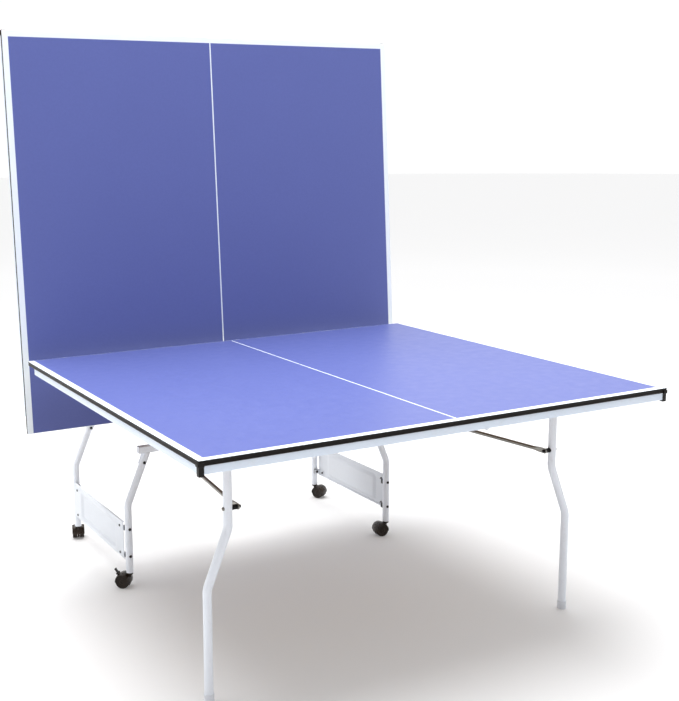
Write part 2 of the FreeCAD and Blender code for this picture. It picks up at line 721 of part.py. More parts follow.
def link(side):
    """A bar from the pin to the leg's bolt, as long as pivot to hinge tube on the half."""
    pin_eye = ("0", "0")
    leg_eye = (HINGE_Y, HINGE_Z)
    ends = link_end(side, "link_pin_x", pin_eye, 1) + link_end(side, "link_leg_x", leg_eye, -1)
    start = point(("%d * (link_pin_x + link_plate / 2)" % side, "link_flat / 2", "0"))
    end = point(("%d * (link_leg_x + link_plate / 2)" % side, "%s - link_flat / 2" % HINGE_Y,
                 HINGE_Z))
    bar = doc.addObject("Part::Cylinder", "Bar")
    run = "(%s - link_flat)^2 + (link_leg_x - link_pin_x)^2 + (%s)^2" % (HINGE_Y, HINGE_Z)
    drive(bar, Radius="link_bar", Height="sqrt(%s)" % run)
    bar.Placement = Placement(start, Rotation(Vector(0, 0, 1), end - start))
    eyes = [mirrored_rod(side, "pivot_pin + running", "link_pin_x - plate",
                         "link_pin_x + 2 * plate", pin_eye),
            mirrored_rod(side, "link_bolt + link_slack", "link_leg_x - plate",
                         "link_leg_x + 2 * plate", leg_eye)]
    return cut(joined(ends + [bar]), *eyes)


def build_links(half):
    for name, side in SIDES.items():
        item = link(local_side(half, side))
        node("%s_link_%s" % (half, name), item, LINK_FRAMES[half])


# ---- the undercarriage ----------------------------------------------------------------

def lean_at(height):
    """How far in an undercarriage leg stands at a height above its bend."""
    return "wheel_leg_lean * (%s - wheel_leg_knee) / (lean_top - wheel_leg_knee)" % height


def wheel_leg(side, end):
    x = "%d * wheel_leg_x" % side
    y = "%d * wheel_leg_y" % end
    top = "(side_rail_z + tube)"
    corners = (("0", "0"), ("0", "wheel_leg_knee - wheel_leg_foot"),
               ("%d * %s" % (-side, lean_at(top)), "%s - wheel_leg_foot" % top))
    tube = bent_tube(corners, (x, y, "wheel_leg_foot"))
    above = span_box(("-wheel_leg_x", "wheel_leg_x"), ("%s - tube" % y, "%s + tube" % y),
                     ("side_rail_z", "side_rail_z + 2 * tube"))
    bores = [rod("small_bolt + running", "%s - tube" % y, "%s + tube" % y, (x, height), "y")
             for height in ("bolt_low", "bolt_high")]
    bores.append(rod("small_bolt + running", "%s - tube" % y, "%s + tube" % y,
                     ("%d * %s" % (side, leg_x_at("tab_bolt_z")), "tab_bolt_z"), "y"))
    return cut(tube, above, *bores)


TAB_Y = "wheel_leg_y - tube / 2 - tab_gap"


def leg_x_at(height):
    """How far out a leaning leg stands at a height above its bend."""
    return "(wheel_leg_x - %s)" % lean_at(height)


def side_rail_tube(side):
    """A rectangular tube along the table, between the two cross tubes."""
    centre = "%d * side_rail_x" % side
    half = "side_rail_width / 2"
    top = "side_rail_z + side_rail_height"
    reach = "wheel_leg_y - cross_size / 2"
    ys = ("-1 * (%s)" % reach, reach)
    outer = span_box(("%s - %s" % (centre, half), "%s + %s" % (centre, half)), ys,
                     ("side_rail_z", top))
    hollow = span_box(("%s - %s + box_wall" % (centre, half), "%s + %s - box_wall" % (centre, half)),
                      ("-1 * (%s) - over" % reach, "%s + over" % reach),
                      ("side_rail_z + box_wall", "%s - box_wall" % top))
    return cut(outer, hollow)


def cross_tube(end):
    """A square tube across the tops of two legs, with a tab behind each leg for its bolt."""
    ys = mirrored_span(end, "wheel_leg_y - cross_size / 2", "wheel_leg_y + cross_size / 2")
    hollow_ys = mirrored_span(end, "wheel_leg_y - cross_size / 2 + box_wall",
                              "wheel_leg_y + cross_size / 2 - box_wall")
    top = "side_rail_z + cross_size"
    solids = [span_box(("-cross_half", "cross_half"), ys, ("side_rail_z", top))]
    bores = [span_box(("-cross_half - over", "cross_half + over"), hollow_ys,
                      ("side_rail_z + box_wall", "%s - box_wall" % top))]
    tab_y = mirrored_span(end, "%s - tab_sheet" % TAB_Y, TAB_Y)[0]
    low = "(side_rail_z - tab_height)"
    bore_ys = mirrored_span(end, "%s - tab_sheet - over" % TAB_Y, "%s + over" % TAB_Y)
    for side in (-1, 1):
        upper, lower = leg_x_at("side_rail_z"), leg_x_at(low)
        corners = [("%d * (%s %+d * tab_half)" % (side, x, across), z) for x, across, z in (
            (upper, -1, "side_rail_z"), (upper, 1, "side_rail_z"), (lower, 1, low),
            (lower, -1, low))]
        tab = padded("XZ_Plane", corners, "tab_sheet", reverse=True)
        tab.Placement = Placement(point(("0", tab_y, "0")), Rotation())
        solids.append(tab)
        bores.append(rod("small_bolt + running", *bore_ys,
                         ("%d * %s" % (side, leg_x_at("tab_bolt_z")), "tab_bolt_z"), "y"))
    return cut(joined(solids), *bores)


def tube_plug(side, end):
    """A moulded plug in the end of a cross tube."""
    half = "cross_size / 2"
    head_ys = mirrored_span(end, "wheel_leg_y - %s" % half, "wheel_leg_y + %s" % half)
    body_ys = mirrored_span(end, "wheel_leg_y - %s + box_wall" % half,
                            "wheel_leg_y + %s - box_wall" % half)
    top = "side_rail_z + cross_size"
    head = span_box(mirrored_span(side, "cross_half", "cross_half + plug_wall"), head_ys,
                    ("side_rail_z", top))
    body = span_box(mirrored_span(side, "cross_half - plug_depth", "cross_half"), body_ys,
                    ("side_rail_z + box_wall", "%s - box_wall" % top))
    return joined([head, body])


def pivot_plate(side, end):
    """The plate on a side rail that carries a half's pivot and its link's pin."""
    top = "side_rail_z + side_rail_height"
    foot = "%s + foot_plate" % top
    sides = [("%d * (pivot_out + %s)" % (end, offset), height)
             for offset, height in (("-plate_half", top), ("plate_half", top),
                                    ("ear_half", PIVOT_Z), ("-ear_half", PIVOT_Z))]
    web = padded("YZ_Plane", sides, "plate")
    xs = mirrored_span(side, "plate_x", "plate_x + plate")
    web.Placement = Placement(point((xs[0], "0", "0")), Rotation())
    pivot = ("%d * pivot_out" % end, PIVOT_Z)
    head = rod("ear_half", *xs, pivot)
    foot_xs = mirrored_span(side, "side_rail_x - side_rail_width / 2",
                            "side_rail_x + side_rail_width / 2")
    foot_ys = mirrored_span(end, "pivot_out - plate_half", "pivot_out + plate_half")
    sole = span_box(foot_xs, foot_ys, (top, foot))
    bores = [mirrored_rod(side, "pivot_pin + running", "plate_x - plate", "plate_x + 2 * plate",
                          ("%d * pivot_out" % end, height)) for height in (PIVOT_Z, LINK_PIN_Z)]
    return cut(joined([web, head, sole]), *bores)


def stepped_pin(side, across, steps):
    return joined([mirrored_rod(side, radius, low, high, across) for radius, low, high in steps])


def pivot_bolts():
    """The bolts that the halves turn on and the pins of the links, with their collars."""
    outer = "plate_x + plate"
    link_outer = "link_pin_x + link_plate + play"
    pivot_steps = (("head_radius", "ear_x - play - head_height", "ear_x - play"),
                   ("pivot_pin", "ear_x - play", outer),
                   ("head_radius", "ear_x + plate + play", "plate_x"),
                   ("head_radius", outer, "%s + head_height" % outer))
    link_steps = (("head_radius", "plate_x - head_height", "plate_x"),
                  ("pivot_pin", "plate_x", link_outer),
                  ("head_radius", outer, "link_pin_x - play"),
                  ("head_radius", link_outer, "%s + head_height" % link_outer))
    pins = []
    for side in (-1, 1):
        for end in (-1, 1):
            y = "%d * pivot_out" % end
            pins.append(stepped_pin(side, (y, PIVOT_Z), pivot_steps))
            pins.append(stepped_pin(side, (y, LINK_PIN_Z), link_steps))
    return grouped(pins)


def pressed(side, half, above, height, depth):
    """One step pressed into a side panel: the sheet behind it and the hollow in front."""
    low = "panel_low + %s" % above
    back = rounded_plate("2 * (%s + panel_sheet)" % half, "%s + 2 * panel_sheet" % height,
                         depth, "field_corner")
    hollow = rounded_plate("2 * %s" % half, height, depth, "field_corner")
    back_x = mirrored_span(side, "panel_x - %s - panel_sheet" % depth, "panel_x - panel_sheet")
    hollow_x = mirrored_span(side, "panel_x - %s" % depth, "panel_x")
    back.Placement = Placement(point((back_x[0], "-%s - panel_sheet" % half,
                                      "%s - panel_sheet" % low)), Rotation())
    hollow.Placement = Placement(point((hollow_x[0], "-%s" % half, low)), Rotation())
    return back, hollow


def side_panel(side):
    """A pressed sheet: flanges top and bottom, and a field sunk into it in two steps."""
    outer = span_box(mirrored_span(side, "panel_x - panel_flange", "panel_x"),
                     ("-panel_half", "panel_half"), ("panel_low", "panel_low + panel_height"))
    inside = span_box(mirrored_span(side, "panel_x - panel_flange - over", "panel_x - panel_sheet"),
                      ("-panel_half - over", "panel_half + over"),
                      ("panel_low + panel_sheet", "panel_low + panel_height - panel_sheet"))
    steps = (pressed(side, "field_half", "field_low", "field_height", "field_depth"),
             pressed(side, "tray_half", "tray_low", "tray_height", "tray_depth"))
    backs, hollows = zip(*steps)
    holes = [mirrored_rod(side, "panel_screw + running", "panel_x - panel_sheet - over",
                          "panel_x + over", ("%d * screw_y" % end, height))
             for end in (-1, 1) for height in ("bolt_low", "bolt_high")]
    return cut(joined([cut(outer, inside), *backs]), *hollows, *holes)


PANEL_CORNERS = [(side, end, height) for side in (-1, 1) for end in (-1, 1)
                 for height in ("bolt_low", "bolt_high")]


def leg_bolt_rod(side, end, radius, low, high, height):
    ys = mirrored_span(end, low, high)
    return rod(radius, *ys, ("%d * wheel_leg_x" % side, height), "y")


def panel_bracket(side, end, height):
    """An angle behind the panel's corner, bolted to the leg."""
    zs = ("%s - bracket_half" % height, "%s + bracket_half" % height)
    face = "panel_x - panel_sheet"
    along = span_box(mirrored_span(side, "%s - box_wall" % face, face),
                     mirrored_span(end, "bracket_y - bracket_along", "bracket_y"), zs)
    across = span_box(mirrored_span(side, "%s - bracket_across" % face, face),
                      mirrored_span(end, "bracket_y - box_wall", "bracket_y"), zs)
    bores = [leg_bolt_rod(side, end, "small_bolt + running", "bracket_y - box_wall - over",
                          "bracket_y + over", height),
             mirrored_rod(side, "panel_screw + running", "%s - box_wall - over" % face, "panel_x",
                          ("%d * screw_y" % end, height))]
    return cut(joined([along, across]), *bores)


def saddle(side, end, height):
    """The curved washer between a bracket and the round leg."""
    zs = ("%s - bracket_half" % height, "%s + bracket_half" % height)
    block = span_box(mirrored_span(side, "wheel_leg_x - saddle_half", "wheel_leg_x + saddle_half"),
                     mirrored_span(end, "bracket_y", "bracket_y + saddle_depth"), zs)
    leg = rod("tube / 2 + running", "%s - over" % zs[0], "%s + over" % zs[1],
              ("%d * wheel_leg_x" % side, "%d * wheel_leg_y" % end), "z")
    bore = leg_bolt_rod(side, end, "small_bolt + running", "bracket_y - over", "wheel_leg_y", height)
    return cut(block, leg, bore)


def through_bolt(end, x, height, nut):
    """A bolt through a leg, its head on the leg's outer face and its nut behind a plate."""
    face = "wheel_leg_y + tube / 2"
    steps = (("small_head", face, "%s + small_head_height" % face),
             ("small_bolt", "%s - small_head_height - bolt_past" % nut, face),
             ("small_head", "%s - small_head_height" % nut, nut))
    return joined([rod(radius, *mirrored_span(end, low, high), (x, height), "y")
                   for radius, low, high in steps])


def panel_screw(side, end, height):
    across = ("%d * screw_y" % end, height)
    head = mirrored_rod(side, "panel_screw_head", "panel_x", "panel_x + panel_screw_height", across)
    shank = mirrored_rod(side, "panel_screw", "panel_x - panel_screw_length", "panel_x", across)
    return joined([head, shank])


def frame_bolts():
    bolts = []
    for side, end, height in PANEL_CORNERS:
        bolts.append(through_bolt(end, "%d * wheel_leg_x" % side, height, "bracket_y - box_wall"))
        bolts.append(panel_screw(side, end, height))
    for side in (-1, 1):
        for end in (-1, 1):
            bolts.append(through_bolt(end, "%d * %s" % (side, leg_x_at("tab_bolt_z")), "tab_bolt_z",
                                      "%s - tab_sheet" % TAB_Y))
    return grouped(bolts)


def build_undercarriage():
    for name, side in SIDES.items():
        for place, end in (("front", -1), ("rear", 1)):
            node("wheel_leg_%s_%s" % (place, name), wheel_leg(side, end), NET_FRAME)
            node("pivot_plate_%s_%s" % (place, name), pivot_plate(side, end), NET_FRAME)
        node("side_rail_" + name, side_rail_tube(side), NET_FRAME)
        node("side_panel_" + name, side_panel(side), NET_FRAME)
    node("cross_tubes", grouped([cross_tube(-1), cross_tube(1)]), NET_FRAME)
    node("tube_plugs", grouped([tube_plug(side, end) for side in (-1, 1) for end in (-1, 1)]),
         NET_FRAME)
    node("pivot_bolts", pivot_bolts(), NET_FRAME)
    node("panel_brackets", grouped([panel_bracket(*corner) for corner in PANEL_CORNERS]),
         NET_FRAME)
    node("saddle_washers", grouped([saddle(*corner) for corner in PANEL_CORNERS]), NET_FRAME)
    node("frame_bolts", frame_bolts(), NET_FRAME)


# ---- the casters, drawn from the middle of the stem at the leg's lower end, trailing +X

AXLE_Z = "wheel_radius - wheel_leg_foot"
LEVER_X = "wheel_trail + lever_reach * cos(lever_angle * 1deg)"
LEVER_Z = "wheel_radius - wheel_leg_foot + lever_reach * sin(lever_angle * 1deg)"


def caster_hood(braked):
    across = ("wheel_trail", AXLE_Z)
    lever = (LEVER_X, LEVER_Z)
    beyond = ("wheel_trail - hood_outer - over", "wheel_trail + hood_outer + over")
    beside = ("-hood_half - over", "hood_half + over")
    deep = "%s - hood_outer - over" % AXLE_Z
    shell = cut(rod("hood_outer", "-hood_half", "hood_half", across, "y"),
                rod("hood_inner", *beside, across, "y"),
                span_box(beyond, beside, (deep, "%s - hood_low" % AXLE_Z)))
    web = cut(rod("hood_inner + over", "web_gap - wheel_gap", "wheel_gap - web_gap", across, "y"),
              span_box(beyond, beside, (deep, "web_floor - wheel_leg_foot")))
    boss = rod("boss_radius", "boss_low - wheel_leg_foot", "-boss_gap", ("0", "0"), "z")
    stem = rod("tube / 2 - tube_wall - running", "-boss_gap", "stem_length", ("0", "0"), "z")
    parts = [shell, web, boss, stem]
    bores = [rod("axle + running", "-hood_half", "hood_half", across, "y")]
    if braked:
        for side in (-1, 1):
            ys = mirrored_span(side, "lever_half + play", "lever_half + play + lever_ear")
            parts.append(rod("lever_ear_radius", *ys, lever, "y"))
        bores.append(rod("lever_pin + running", "-hood_half", "hood_half", lever, "y"))
    return cut(joined(parts), *bores)


def caster_wheels():
    """Two wheels fast on one axle, turned in one piece: hub, dished face, tread, axle."""
    half = (("0", "wheel_pad + hub_proud"), ("hub_radius", "wheel_pad + hub_proud"),
            ("hub_radius + 2 * wheel_dish", "wheel_pad - wheel_dish"),
            ("wheel_radius - wheel_rim - wheel_dish", "wheel_pad - wheel_dish"),
            ("wheel_radius - wheel_rim", "wheel_pad"), ("wheel_radius - tread_bevel", "wheel_pad"),
            ("wheel_radius", "wheel_pad - tread_bevel"), ("wheel_radius", "wheel_gap + wheel_dish"),
            ("wheel_radius - wheel_dish", "wheel_gap"), ("axle", "wheel_gap"))
    other = tuple((radius, "-(%s)" % height) for radius, height in reversed(half))
    wheels = revolved(half + other)
    wheels.Placement = Placement(point(("wheel_trail", "0", AXLE_Z)), Rotation())
    return wheels


def brake_lever():
    """A tab on a hinge above the hood, with its hinge pins."""
    across = ("-lever_half", "lever_half")
    knuckle = rod("lever_knuckle", *across, ("0", "0"), "y")
    pin = rod("lever_pin", "-lever_half - lever_ear", "lever_half + lever_ear", ("0", "0"), "y")
    tab = span_box(("0", "lever_length"), across, ("-lever_sheet / 2", "lever_sheet / 2"))
    tip = rod("lever_tip", *across, ("lever_length", "0"), "y")
    lever = joined([knuckle, pin, tab, tip])
    turn = Rotation(Vector(0, 1, 0), -value("lever_slope"))
    lever.Placement = Placement(point((LEVER_X, "0", LEVER_Z)), turn)
    return lever


def build_casters():
    for name, (side, end, heading) in CASTERS.items():
        frame = shifted("%d * wheel_leg_x" % side, "%d * wheel_leg_y" % end, "wheel_leg_foot",
                        Rotation(Vector(0, 0, 1), heading))
        node("caster_%s_hood" % name, caster_hood(name in BRAKED), frame)
        node("caster_%s_wheels" % name, caster_wheels(), frame)
        if name in BRAKED:
            node("caster_%s_lever" % name, brake_lever(), frame)


# ---- build, check and write -----------------------------------------------------------

def check():
    for item in doc.Objects:
        if "Invalid" in item.State or "Error" in item.State:
            raise RuntimeError("%s (%s) failed: %s" % (item.Label, item.Name, item.State))
    for item in NODES:
        shape = item.Shape
        if shape.isNull() or not shape.isValid() or not shape.Solids:
            raise RuntimeError("%s has no valid solid" % item.Label)


def write():
    os.makedirs("parts", exist_ok=True)
    whole = FreeCAD.BoundBox()
    for item in NODES:
        item.Shape.exportStep("parts/%s.step" % item.Label)
        whole.add(item.Shape.BoundBox)
    print("%d nodes, x %.1f..%.1f, y %.1f..%.1f, z %.1f..%.1f" % (
        len(NODES), whole.XMin, whole.XMax, whole.YMin, whole.YMax, whole.ZMin, whole.ZMax))


build_undercarriage()
build_casters()
for half in ("front", "rear"):
    build_half(half)
    build_leg_frame(half)
    build_links(half)
doc.recompute()
check()
write()
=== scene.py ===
"""Looks of a folding table tennis table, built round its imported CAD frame. Metres, +Z up."""

import json
import math

import bmesh
import bpy
from mathutils import Matrix, Vector


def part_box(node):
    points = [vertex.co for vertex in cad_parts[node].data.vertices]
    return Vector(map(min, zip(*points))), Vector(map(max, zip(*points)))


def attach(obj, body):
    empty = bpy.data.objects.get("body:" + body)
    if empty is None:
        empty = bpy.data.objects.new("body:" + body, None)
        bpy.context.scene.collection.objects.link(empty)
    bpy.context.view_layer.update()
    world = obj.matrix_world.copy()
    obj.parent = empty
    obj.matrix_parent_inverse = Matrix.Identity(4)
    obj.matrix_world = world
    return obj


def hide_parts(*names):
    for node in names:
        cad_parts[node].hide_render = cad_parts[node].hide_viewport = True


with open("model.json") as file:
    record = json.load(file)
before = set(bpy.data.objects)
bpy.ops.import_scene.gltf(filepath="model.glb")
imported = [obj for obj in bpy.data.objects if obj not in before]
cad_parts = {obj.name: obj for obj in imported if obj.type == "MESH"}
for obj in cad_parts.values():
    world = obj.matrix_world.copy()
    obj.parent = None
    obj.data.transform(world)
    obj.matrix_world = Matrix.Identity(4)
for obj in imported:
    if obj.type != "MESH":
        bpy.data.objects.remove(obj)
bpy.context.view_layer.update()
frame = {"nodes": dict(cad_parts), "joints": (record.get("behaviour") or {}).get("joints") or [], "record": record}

JOINTS = {joint["name"]: joint for joint in frame["joints"]}
HALVES = ("front", "rear")
SIDES = {"left": -1, "right": 1}


# ---- frames of the two halves ----

def half_matrix(half):
    """A half's own frame: origin on its pivot, +Y away from the net, +Z up when it is level."""
    fold = JOINTS[half + "_fold"]
    if half == "front":
        turn = Matrix.Rotation(math.pi, 4, "Z")
    else:
        turn = Matrix.Rotation(math.radians(-fold["range_deg"][0]), 4, "X")
    return Matrix.Translation(fold["pos_m"]) @ turn


def level_box(node):
    """The box of one of the level half's nodes, in that half's own frame."""
    inverse = half_matrix("front").inverted()
    corners = [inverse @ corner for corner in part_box(node)]
    low = Vector(min(corner[axis] for corner in corners) for axis in range(3))
    high = Vector(max(corner[axis] for corner in corners) for axis in range(3))
    return low, high


BOARD_LOW, BOARD_HIGH = level_box("front_edge_band")


# ---- materials ----

class Finish:
    """A material while its nodes are being wired."""

    def __init__(self, name, **fixed):
        self.material = bpy.data.materials.new(name)
        self.material.use_nodes = True
        self.tree = self.material.node_tree
        self.shader = self.tree.nodes["Principled BSDF"]
        for socket, number in fixed.items():
            self.shader.inputs[socket.replace("_", " ")].default_value = number
        self.place = self.node("ShaderNodeTexCoord", "Object")

    def put(self, target, content):
        """Set an input to a number or a colour, or link it to another node's output."""
        if isinstance(content, bpy.types.NodeSocket):
            self.tree.links.new(content, target)
        else:
            target.default_value = content

    def node(self, kind, output=0, inputs=None, **settings):
        made = self.tree.nodes.new(kind)
        for name, setting in settings.items():
            setattr(made, name, setting)
        for key, content in (inputs or {}).items():
            self.put(made.inputs[key], content)
        return made.outputs[output]

    def math(self, operation, *operands, clamp=False):
        inputs = dict(enumerate(operands))
        return self.node("ShaderNodeMath", 0, inputs, operation=operation, use_clamp=clamp)

    def dot(self, direction):
        """How far a point lies along a direction."""
        inputs = {0: self.place, 1: direction}
        return self.node("ShaderNodeVectorMath", "Value", inputs, operation="DOT_PRODUCT")

    def noise(self, scale, detail=2.0, roughness=0.5, stretch=None):
        """Noise from 0 to 1, scale cells to the metre."""
        where = self.place
        if stretch:
            inputs = {0: self.place, 1: stretch}
            where = self.node("ShaderNodeVectorMath", 0, inputs, operation="MULTIPLY")
        inputs = {"Vector": where, "Scale": scale, "Detail": detail, "Roughness": roughness}
        return self.node("ShaderNodeTexNoise", "Fac", inputs)

    def ramp(self, value, low, high, start=0.0, end=1.0):
        """value's span low..high, carried over to start..end."""
        inputs = {"Value": value, 1: low, 2: high, 3: start, 4: end}
        return self.node("ShaderNodeMapRange", "Result", inputs)

    def mix(self, share, first, second):
        made = self.tree.nodes.new("ShaderNodeMix")
        made.data_type = "RGBA"
        for key, content in zip((0, 6, 7), (share, first, second)):
            self.put(made.inputs[key], content)
        return made.outputs[2]

    def colour(self, content):
        self.put(self.shader.inputs["Base Color"], content)

    def rough(self, content):
        self.put(self.shader.inputs["Roughness"], content)

    def bump(self, height, depth, strength=0.3):
        inputs = {"Height": height, "Distance": depth, "Strength": strength}
        normal = self.node("ShaderNodeBump", 0, inputs)
        self.put(self.shader.inputs["Normal"], normal)


def rgb(red, green, blue):
    """A colour as it is seen on screen, 0 to 255, as the linear one that a shader takes."""
    def linear(level):
        level /= 255
        return level / 12.92 if level <= 0.04045 else ((level + 0.055) / 1.055) ** 2.4
    return (linear(red), linear(green), linear(blue), 1.0)


LINE_WIDTH = 0.020
CENTRE_LINE = 0.0045
CENTRE_START = 0.008
LINE_SOFTNESS = 0.0003
PAINT_DEPTH = 0.0006


def own_axis(made, half, axis):
    """How far a point lies along one axis of a half's own frame."""
    own = half_matrix(half)
    way = own.to_3x3() @ Vector(axis)
    return made.math("SUBTRACT", made.dot(way), way.dot(own.translation))


def white_line(made):
    return made.mix(made.noise(20, 3), rgb(232, 240, 247), rgb(240, 246, 252))


def board_paint(half):
    """Matt blue paint with white lines on the playing face, sealed fibreboard elsewhere."""
    made = Finish("board_" + half, Specular_IOR_Level=0.36)
    along = own_axis(made, half, (0, 1, 0))
    height = own_axis(made, half, (0, 0, 1))
    across = made.math("ABSOLUTE", made.dot((1, 0, 0)))

    def beyond(value, edge):
        return made.ramp(value, edge - LINE_SOFTNESS, edge + LINE_SOFTNESS)

    side_line = beyond(across, BOARD_HIGH.x - LINE_WIDTH)
    end_line = beyond(along, BOARD_HIGH.y - LINE_WIDTH)
    narrow = made.math("SUBTRACT", 1.0, beyond(across, CENTRE_LINE / 2))
    centre = made.math("MULTIPLY", narrow, beyond(along, BOARD_LOW.y + CENTRE_START))
    lines = made.math("MAXIMUM", made.math("MAXIMUM", side_line, end_line), centre)

    blue = made.mix(made.noise(3, 4), rgb(89, 99, 162), rgb(93, 103, 167))
    blue = made.mix(made.ramp(made.noise(140, 3), 0.35, 0.75, 0.0, 0.35), blue, rgb(85, 94, 155))
    paint = made.mix(lines, blue, white_line(made))
    fibre = made.mix(made.noise(400, 4, 0.7, (1, 0.35, 1)), rgb(128, 98, 68), rgb(152, 120, 86))
    fibre = made.mix(made.noise(6, 3), fibre, rgb(138, 107, 76))
    face = beyond(height, BOARD_HIGH.z - PAINT_DEPTH)
    made.colour(made.mix(face, fibre, paint))

    sheen = made.ramp(made.noise(30, 4), 0.3, 0.7, 0.38, 0.45)
    made.rough(made.math("ADD", sheen, made.math("MULTIPLY", lines, -0.06)))
    made.bump(made.noise(1100, 2), 0.0004, 0.12)
    return made.material


BAND_LINE = 0.0011


def band_moulding(half):
    """Black edging whose top is painted over with the white border line."""
    made = Finish("edge_band_" + half, Specular_IOR_Level=0.18)
    rubbed = made.ramp(made.noise(45, 5, 0.6), 0.45, 0.78, 0.0, 0.5)
    black = made.mix(rubbed, rgb(16, 11, 9), rgb(34, 27, 24))
    height = own_axis(made, half, (0, 0, 1))
    ragged = made.math("ADD", height, made.ramp(made.noise(160, 3), 0.3, 0.7, -0.0002, 0.0002))
    line = made.ramp(ragged, BOARD_HIGH.z - BAND_LINE - 0.0001, BOARD_HIGH.z - BAND_LINE + 0.0001)
    made.colour(made.mix(line, black, white_line(made)))
    made.rough(made.ramp(made.noise(120, 3), 0.3, 0.7, 0.40, 0.52))
    made.bump(made.noise(1500, 2), 0.0003, 0.25)
    return made.material


def powder_coat(name, shade, deep):
    """Satin white powder coat: orange peel, a breath of unevenness, rubbed and dusty places."""
    made = Finish(name, Specular_IOR_Level=0.5, Coat_Weight=0.12, Coat_Roughness=0.3)
    base = made.mix(made.noise(9, 3), shade, deep)
    dust = made.ramp(made.noise(55, 5, 0.65), 0.56, 0.80, 0.0, 0.35)
    made.colour(made.mix(dust, base, rgb(206, 206, 208)))
    made.rough(made.ramp(made.noise(70, 4), 0.3, 0.7, 0.30, 0.42))
    made.bump(made.noise(800, 2), 0.0004, 0.22)
    return made.material


def moulding(name, shade, worn, rough=0.42, grain=1500, depth=0.35, shine=0.3):
    """Moulded plastic: a fine spark grain, paler where it is rubbed."""
    made = Finish(name, Specular_IOR_Level=shine)
    rubbed = made.ramp(made.noise(45, 5, 0.6), 0.45, 0.78, 0.0, 0.6)
    made.colour(made.mix(rubbed, shade, worn))
    made.rough(made.ramp(made.noise(120, 3), 0.3, 0.7, rough - 0.06, rough + 0.08))
    made.bump(made.noise(grain, 2), 0.0003, depth)
    return made.material


def zinc():
    """Bright zinc plate, a little yellow and cloudy."""
    made = Finish("zinc_steel", Metallic=1.0)
    made.colour(made.mix(made.noise(260, 4), rgb(160, 158, 153), rgb(122, 119, 112)))
    made.rough(made.ramp(made.noise(500, 3), 0.3, 0.7, 0.22, 0.42))
    made.bump(made.noise(1800, 2), 0.0002, 0.25)
    return made.material


FINISHES = {
    "corner_cap": moulding("corner_cap", rgb(14, 10, 9), rgb(34, 27, 25), 0.42, shine=0.2),
    "rail_paint": powder_coat("rail_paint", rgb(222, 231, 243), rgb(214, 225, 240)),
    "frame_paint": powder_coat("frame_paint", rgb(236, 240, 247), rgb(229, 234, 243)),
    "panel_paint": powder_coat("panel_paint", rgb(222, 226, 232), rgb(215, 220, 228)),
    "foot_cap": moulding("foot_cap", rgb(222, 225, 232), rgb(204, 206, 212), 0.4, 1200, 0.2),
    "link_bolt": moulding("link_bolt", rgb(14, 12, 11), rgb(30, 27, 25), 0.42, shine=0.2),
    "zinc_steel": zinc(),
    "blackened": moulding("blackened", rgb(26, 22, 20), rgb(52, 47, 43), 0.34, 1400, 0.2),
    "saddle": moulding("saddle", rgb(26, 23, 22), rgb(40, 36, 34), 0.5),
    "caster_hood": moulding("caster_hood", rgb(34, 23, 14), rgb(60, 44, 30), 0.28, 900, 0.12),
    "caster_wheel": moulding("caster_wheel", rgb(32, 23, 15), rgb(58, 44, 32), 0.36, 1100, 0.2),
    "caster_lever": moulding("caster_lever", rgb(22, 19, 19), rgb(40, 36, 35), 0.34),
}
for half in HALVES:
    FINISHES["board_" + half] = board_paint(half)
    FINISHES["edge_band_" + half] = band_moulding(half)

SLOT_OF = {part["node"]: part["material_slot"] for part in frame["record"]["subparts"]}
BODY_OF = {node: body for body, nodes in frame["record"]["behaviour"]["bodies"].items()
           for node in nodes}


def finish_of(node):
    slot = SLOT_OF[node]
    half = node.split("_")[0]
    if slot == "board_paint":
        return FINISHES["board_" + half]
    if slot == "edge_band":
        return FINISHES["edge_band_" + half]
    return FINISHES[slot]


for name, item in frame["nodes"].items():
    item.data.materials.clear()
    item.data.materials.append(finish_of(name))


# ---- mesh code ----

FACING = {"X": ((0, 1, 0), (0, 0, 1)), "Y": ((0, 0, 1), (1, 0, 0)), "Z": ((1, 0, 0), (0, 1, 0))}
SHARP = 38
WELD_RIPPLE = 0.0035


def rounded_path(corners, radius, steps=12):
    """A run of straight pieces joined by arcs."""
    corners = [Vector(corner) for corner in corners]
    path = [corners[0]]
    for before, corner, after in zip(corners, corners[1:], corners[2:]):
        arriving = (corner - before).normalized()
        leaving = (after - corner).normalized()
        half_turn = arriving.angle(leaving) / 2
        centre = corner + (leaving - arriving).normalized() * radius / math.cos(half_turn)
        start = corner - arriving * radius * math.tan(half_turn) - centre
        axis = arriving.cross(leaving).normalized()
        for step in range(steps + 1):
            path.append(centre + Matrix.Rotation(2 * half_turn * step / steps, 3, axis) @ start)
    path.append(corners[-1])
    return path


def rounded_loop(corners, steps=4):
    """A closed outline of (u, v, corner radius), as points."""
    loop = []
    for index, (u, v, radius) in enumerate(corners):
        corner = Vector((u, v, 0))
        before = Vector((*corners[index - 1][:2], 0))
        after = Vector((*corners[(index + 1) % len(corners)][:2], 0))
        loop += [point.xy for point in rounded_path([before, corner, after], radius, steps)[1:-1]]
    return loop


def rounded_box(low_u, high_u, low_v, high_v, radius, steps=4):
    return rounded_loop([(low_u, low_v, radius), (high_u, low_v, radius),
                         (high_u, high_v, radius), (low_u, high_v, radius)], steps)


def put_in_scene(name, data):
    item = bpy.data.objects.new(name, data)
    bpy.context.scene.collection.objects.link(item)
    return item


def circle(centre, first, second, radius, sides):
    """Points on a circle in the plane of two directions."""
    points = []
    for side in range(sides):
        angle = 2 * math.pi * side / sides
        outward = first * math.cos(angle) + second * math.sin(angle)
        points.append(centre + outward * radius)
    return points


def smooth(share):
    """A rise from 0 to 1 that starts and ends level."""
    return share * share * (3 - 2 * share)


